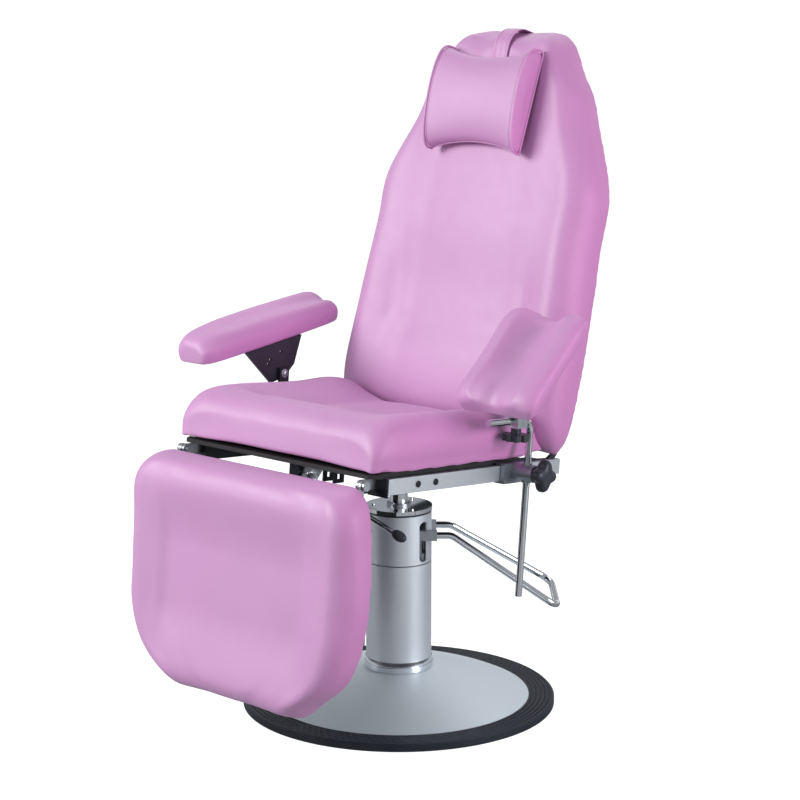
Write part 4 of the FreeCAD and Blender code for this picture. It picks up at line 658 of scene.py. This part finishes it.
def stitchRow(name, path, body, length=0.0034, radius=0.00045):  # path gives (point, along, outward)
    form = bmesh.new()
    for point, along, outward in path:
        side = along.cross(outward).normalized()
        place = Matrix((
            (along.x * length / 2, side.x * radius, outward.x * radius, point.x),
            (along.y * length / 2, side.y * radius, outward.y * radius, point.y),
            (along.z * length / 2, side.z * radius, outward.z * radius, point.z),
            (0, 0, 0, 1)))
        bmesh.ops.create_uvsphere(form, u_segments=8, v_segments=6, radius=1, matrix=place)
    mesh = meshFrom(name, form, False)
    smoothFaces(mesh)
    # the darker thread colour is partly painted shade of the stitch channels
    mesh.materials.append(stitchThread)
    row = linkPiece(name, mesh)
    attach(row, body)
    return row


for side, label in ((-1, "Right"), (1, "Left")):
    steps = pillow["pipingSteps"]
    rim = [backFrame @ pillowPoint(side * pillow["half"], k / steps) for k in range(steps)]
    piping = tubeAlong("pillowPiping" + label, rim, pillow["piping"], pipingVinyl, True)
    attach(piping, "pillow")
for share, label in ((0.0, "Lower"), (pillow["frontShare"], "Upper")):
    steps = pillow["hemSteps"]
    clear = Vector((0, -pillow["hemOut"], 0))            # keeps the hem off the backrest
    edge = [backFrame @ (pillowPoint(pillow["half"] * (2 * k / steps - 1), share) + clear) for k in range(steps + 1)]
    hem = tubeAlong("pillowHem" + label, edge, pillow["piping"] * pillow["hem"], pipingVinyl)
    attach(hem, "pillow")
for side, label in ((-1, "Right"), (1, "Left")):
    inset = side * (pillow["half"] - pillow["seamIn"])
    proud = Vector((0, -pillow["seamOut"], 0))
    shares = [pillow["seamStart"] + pillow["seamRun"] * k / pillow["seamSteps"] for k in range(pillow["seamSteps"] + 1)]
    seam = [backFrame @ (pillowPoint(inset, share) + proud) for share in shares]
    path = []
    for behind, point, ahead in zip(seam, seam[1:], seam[2:]):
        along = (ahead - behind).normalized()
        path.append((point, along, Vector((1, 0, 0)).cross(along)))
    stitchRow("pillowStitch" + label, path, "pillow", pillow["stitch"], pillow["thread"])
print("head pillow done")

# strap over the top of the backrest, with two rows of stitching
strap = {"width": 0.042, "thick": 0.0022, "front": -0.0956, "rear": 0.0135, "top": 0.8695, "frontBend": 0.048,
         "rearBend": 0.014, "lowFront": 0.652, "lowRear": 0.63, "stitch": 0.0042, "stitchAt": 0.34, "stitchSink": 0.62,
         "profile": [(-0.5, 0.15), (-0.47, 0.75), (-0.41, 1.0), (-0.34, 0.5), (-0.27, 1.0), (-0.07, 1.05), (0.0, 0.55),
                     (0.07, 1.05), (0.27, 1.0), (0.34, 0.5), (0.41, 1.0), (0.47, 0.75), (0.5, 0.15), (0.46, 0.0),
                     (-0.46, 0.0)]}


def strapBend(depth, height, radius, start, steps):  # a quarter turn round the backrest's edge
    turns = [math.radians(start - 90 * k / (steps - 1)) for k in range(steps)]
    return [(depth + radius * math.cos(a), height + radius * math.sin(a), math.cos(a), math.sin(a)) for a in turns]


def strapLine():  # (depth, height, outward depth, outward height) along the strap
    s = strap
    frontTop, rearTop = s["top"] - s["frontBend"], s["top"] - s["rearBend"]
    frontFlat, rearFlat = s["front"] + s["frontBend"], s["rear"] - s["rearBend"]
    line = [(s["front"], s["lowFront"] + (frontTop - s["lowFront"]) * k / 24, -1, 0) for k in range(24)]
    line += strapBend(frontFlat, frontTop, s["frontBend"], 180, 15)
    line += [(frontFlat + (rearFlat - frontFlat) * k / 8, s["top"], 0, 1) for k in range(1, 8)]
    line += strapBend(rearFlat, rearTop, s["rearBend"], 90, 9)
    line += [(s["rear"], rearTop + (s["lowRear"] - s["top"] + s["rearBend"]) * k / 21, 1, 0) for k in range(1, 22)]
    return line


route = strapLine()
form = bmesh.new()
rings = []
for depth, height, outY, outZ in route:
    spots = [(u * strap["width"], depth + outY * v * strap["thick"], height + outZ * v * strap["thick"])
             for u, v in strap["profile"]]
    rings.append([form.verts.new(backFrame @ Vector(spot)) for spot in spots])
skinRings(form, rings)
capRings(form, rings)
strapMesh = meshFrom("headStrap", form)
smoothFaces(strapMesh)
strapMesh.materials.append(strapVinyl)
headStrap = linkPiece("headStrap", strapMesh)
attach(headStrap, "backrest")
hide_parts("headrest_strap")


def strapStitches(offset):
    thick, sink = strap["thick"], strap["stitchSink"]
    points = [Vector((offset, d + oy * thick * sink, h + oz * thick * sink)) for d, h, oy, oz in route]
    outs = [Vector((0, oy, oz)) for d, h, oy, oz in route]
    lean = backFrame.to_3x3()
    path = []
    left = strap["stitch"] / 2
    for a, b, out in zip(points, points[1:], outs):
        run = (b - a).length
        while left < run:
            path.append((backFrame @ a.lerp(b, left / run), lean @ (b - a).normalized(), lean @ out))
            left += strap["stitch"]
        left -= run
    return path


for offset, label in ((-strap["width"] * strap["stitchAt"], "Right"), (strap["width"] * strap["stitchAt"], "Left")):
    stitchRow("strapStitch" + label, strapStitches(offset), "backrest")
print("strap done")

# star grip of the rail clamp: four soft lobes on a round neck
starGrip = {"place": (0.3225, 0.040, -0.011), "round": 0.0265, "lobe": 0.0055, "lobes": 4, "turn": -6, "around": 64,
            "stem": 0.005, "stemStart": -0.0095, "neck": 0.0145, "bevel": 0.001, "neckRows": (0.0002, 0.0012, 0.0070),
            "rows": [(0.0075, 0.74), (0.0085, 0.86), (0.0105, 0.95), (0.0140, 1.0), (0.0205, 1.0), (0.0250, 0.965),
                     (0.0285, 0.88), (0.0305, 0.74), (0.0316, 0.52), (0.0320, 0.26)]}


def starRadius(angle):
    lobes = math.cos(starGrip["lobes"] * (angle - math.radians(starGrip["turn"])))
    return starGrip["round"] + starGrip["lobe"] * lobes


def starRing(form, along, sizeAt):
    ring = []
    for k in range(starGrip["around"]):
        angle = 2 * math.pi * k / starGrip["around"]
        r = sizeAt(angle)
        spot = Vector(starGrip["place"]) + Vector((along, r * math.cos(angle), r * math.sin(angle)))
        ring.append(form.verts.new(seatFrame @ spot))
    return ring


form = bmesh.new()
stem, neck = starGrip["stem"], starGrip["neck"]
plainRows = [(starGrip["stemStart"], stem), (0, stem)]
plainRows += zip(starGrip["neckRows"], (neck - starGrip["bevel"], neck, neck))
rings = [starRing(form, along, lambda a, r=radius: r) for along, radius in plainRows]
rings += [starRing(form, along, lambda a, s=share: starRadius(a) * s) for along, share in starGrip["rows"]]
skinRings(form, rings)
capRings(form, rings)
starMesh = meshFrom("starGrip", form)
smoothFaces(starMesh)
starMesh.materials.append(blackPlastic)
starPiece = linkPiece("starGrip", starMesh)
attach(starPiece, "star")
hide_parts("star_knob")


# fasteners: domed heads on a thin washer, with a six-sided socket sunk in the middle
screwHead = {"washer": 1.45, "washerRows": [(1.0, 0.0), (1.0, 0.0007), (0.94, 0.0010)], "seat": 0.0011, "sides": 24,
             "headRows": [(1.0, 0.0), (1.0, 0.45), (0.86, 0.8), (0.55, 1.0), (0.5, 1.0), (0.42, 0.4)], "socket": 0.53}


def fastener(form, place, radius, rise):  # place: +Z of the matrix points out of the face
    h = screwHead
    rows = [(radius * h["washer"] * share, height) for share, height in h["washerRows"]]
    rows += [(radius * share, h["seat"] + up * rise) for share, up in h["headRows"]]
    sides = h["sides"]
    rings = []
    for size, height in rows:
        six = size < radius * h["socket"]
        ring = []
        for k in range(sides):
            angle = 2 * math.pi * k / sides
            wide = size
            if six:
                wide = size * math.cos(math.pi / 6) / math.cos((angle % (math.pi / 3)) - math.pi / 6)
            ring.append(form.verts.new(place @ Vector((wide * math.cos(angle), wide * math.sin(angle), height))))
        rings.append(ring)
    skinRings(form, rings)
    capRings(form, rings)


def fasteners(name, body, places, radius, rise, finish):
    form = bmesh.new()
    for place in places:
        fastener(form, place, radius, rise)
    mesh = meshFrom(name, form)
    mesh.materials.append(finish)
    piece = linkPiece(name, mesh)
    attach(piece, body)


facing = {"right": Matrix.Rotation(math.radians(90), 4, "Y"), "rear": Matrix.Rotation(math.radians(-90), 4, "X")}
pivotBolt = {"place": (-0.284, 0, 0), "radius": 0.0062, "rise": 0.0042}
screws = {"back": [(0.225, 0.065), (0.245, 0.215), (0.24, 0.40), (0.225, 0.555), (0.150, 0.72), (0.075, 0.825)],
          "backFace": 0.012, "leg": [(0.205, -0.05), (0.25, -0.19), (0.19, -0.355), (0.07, -0.41)], "legFace": -0.014,
          "radius": 0.0042, "rise": 0.0022}


def rearScrews(place, spots, face):  # mirrored pairs on a board's rear face
    return [place @ Matrix.Translation((s * x, face, z)) @ facing["rear"] for x, z in spots for s in (-1, 1)]


boltPlace = armFrame @ Matrix.Translation(pivotBolt["place"]) @ facing["right"]
fasteners("armPivotBolt", "seat", [boltPlace], pivotBolt["radius"], pivotBolt["rise"], zincSteel)
fasteners("backPanelScrews", "backrest", rearScrews(backFrame, screws["back"], screws["backFace"]),
          screws["radius"], screws["rise"], zincSteel)
fasteners("legBoardScrews", "legrest", rearScrews(legFrame, screws["leg"], screws["legFace"]),
          screws["radius"], screws["rise"], zincSteel)
print("grip and fasteners done")

# studio
studio = {"floor": 60.0, "glow": 0.90, "world": 0.52,
          "floorPaint": [(0.3, (0.36, 0.36, 0.365)), (0.7, (0.38, 0.38, 0.385))],
          "key": 165, "keyPlace": (-1.9, -3.7, 2.7), "keySize": (2.2, 2.0), "aim": (0, 0, 0.7),
          "fill": 75, "fillPlace": (3.5, 0.7, 1.35), "fillSize": (1.6, 2.2),
          "fillColour": (0.94, 0.97, 1.0), "rosyColour": (1.0, 0.60, 0.87),
          "top": 22, "topPlace": (-1.0, 2.0, 3.3), "topSize": (2.6, 2.2), "topAim": (0, 0, 0.4)}
floorMesh = bpy.data.meshes.new("paleFloor")
half = studio["floor"]
floorMesh.from_pydata([(-half, -half, 0), (half, -half, 0), (half, half, 0), (-half, half, 0)], [], [(0, 1, 2, 3)])
paleFloor = linkPiece("paleFloor", floorMesh)
floorFinish, floorTree, floorShader = startFinish("floorPaint")
floorCloud = noiseNode(floorTree, placeNode(floorTree), 3)
floorTree.links.new(rampNode(floorTree, floorCloud, studio["floorPaint"]), floorShader.inputs["Base Color"])
floorShader.inputs["Roughness"].default_value = 0.8
floorShader.inputs["Specular IOR Level"].default_value = 0.0
floorShader.inputs["Emission Color"].default_value = (1, 1, 1, 1)
floorShader.inputs["Emission Strength"].default_value = studio["glow"]
floorMesh.materials.append(floorFinish)
floorOnly = bpy.data.collections.new("floorOnly")   # the floor's glow is for the floor alone
floorOnly.objects.link(paleFloor)
paleFloor.light_linking.receiver_collection = floorOnly

vinylPieces = [piece for piece in scene.objects if piece.type == "MESH" and piece.data.materials
               and piece.data.materials[0] in (pinkVinyl, strapVinyl, pipingVinyl)]


def softbox(name, place, aim, size, power, colour=(1, 1, 1)):
    lamp = bpy.data.lights.new(name, "AREA")
    lamp.shape = "RECTANGLE"
    lamp.size, lamp.size_y = size
    lamp.energy = power
    lamp.color = colour
    box = bpy.data.objects.new(name, lamp)
    box.location = place
    box.rotation_euler = (Vector(aim) - Vector(place)).to_track_quat("-Z", "Y").to_euler()
    scene.collection.objects.link(box)
    return box


softbox("keyBox", studio["keyPlace"], studio["aim"], studio["keySize"], studio["key"])
fillAt = (studio["fillPlace"], studio["aim"], studio["fillSize"], studio["fill"])
fillBox = softbox("fillBox", *fillAt, studio["fillColour"])
rosyBox = softbox("rosyBox", *fillAt, studio["rosyColour"])
for box, state in ((fillBox, "EXCLUDE"), (rosyBox, "INCLUDE")):    # the rosy fill is for the vinyl alone
    lit = bpy.data.collections.new(box.name + "Lit")
    for piece in vinylPieces:
        lit.objects.link(piece)
    for member in lit.collection_objects:
        member.light_linking.link_state = state
    box.light_linking.receiver_collection = lit
softbox("topBox", studio["topPlace"], studio["topAim"], studio["topSize"], studio["top"])

skyLook = {"panels": [(0.0, (0.30, 0.31, 0.34)), (0.09, (0.85, 0.87, 0.9)), (0.27, (1.0, 1.0, 1.0)),
                      (0.33, (0.22, 0.23, 0.26)), (0.37, (0.25, 0.26, 0.29)), (0.42, (1.0, 1.0, 1.0)),
                      (0.48, (0.9, 0.92, 0.95)),
                      (0.54, (0.10, 0.11, 0.13)), (0.63, (0.10, 0.11, 0.13)), (0.68, (0.6, 0.62, 0.66)),
                      (0.75, (0.12, 0.13, 0.15)), (0.92, (0.12, 0.13, 0.15)), (1.0, (0.30, 0.31, 0.34))],
           "overhead": (0.72, 0.75, 0.80, 1), "overheadFrom": (0.11, 0.25),
           "low": (1.95, 1.95, 1.95, 1), "lowFrom": (0.095, 0.125)}
world = bpy.data.worlds.new("studioWorld")
scene.world = world
world.use_nodes = True
sky = world.node_tree
sky.nodes["Background"].inputs["Strength"].default_value = studio["world"]
around = sky.nodes.new("ShaderNodeTexCoord")
split = sky.nodes.new("ShaderNodeSeparateXYZ")
sky.links.new(around.outputs["Generated"], split.inputs["Vector"])
angle = addNode(sky, "ShaderNodeMath", operation="ARCTAN2")
sky.links.new(split.outputs["Y"], angle.inputs[0])
sky.links.new(split.outputs["X"], angle.inputs[1])
turnShare = rangeNode(sky, angle.outputs["Value"], 0, 1, -math.pi, math.pi)
panels = rampNode(sky, turnShare, skyLook["panels"])
factor, colourA, colourB, colourOut = 0, 6, 7, 2      # sockets of a colour mix
high = rangeNode(sky, split.outputs["Z"], 0, 1, *skyLook["overheadFrom"])
blendSky = addNode(sky, "ShaderNodeMix", data_type="RGBA")
blendSky.inputs[colourB].default_value = skyLook["overhead"]
sky.links.new(high, blendSky.inputs[factor])
sky.links.new(panels, blendSky.inputs[colourA])
lowSky = rangeNode(sky, split.outputs["Z"], 0, 1, *skyLook["lowFrom"])      # pale band just above the floor's far edge
wholeSky = addNode(sky, "ShaderNodeMix", data_type="RGBA")
wholeSky.inputs[colourA].default_value = skyLook["low"]
sky.links.new(lowSky, wholeSky.inputs[factor])
sky.links.new(blendSky.outputs[colourOut], wholeSky.inputs[colourB])
sky.links.new(wholeSky.outputs[colourOut], sky.nodes["Background"].inputs["Color"])
scene.view_settings.view_transform = "Standard"

view = {"height": 1.5131, "reach": 4.4365, "azimuth": 41.8681, "down": 11.2864, "lens": 101.276, "shift": 0.0016,
        "sensor": 36}
camData = bpy.data.cameras.new("photoCamera")
camData.sensor_width = view["sensor"]
camData.lens = view["lens"]
camData.shift_x = view["shift"]
camera = bpy.data.objects.new("photoCamera", camData)
turn = math.radians(view["azimuth"])
camera.location = (view["reach"] * math.sin(turn), -view["reach"] * math.cos(turn), view["height"])
camera.rotation_euler = (math.radians(90 - view["down"]), 0, turn)
scene.collection.objects.link(camera)
scene.camera = camera
print("studio set")
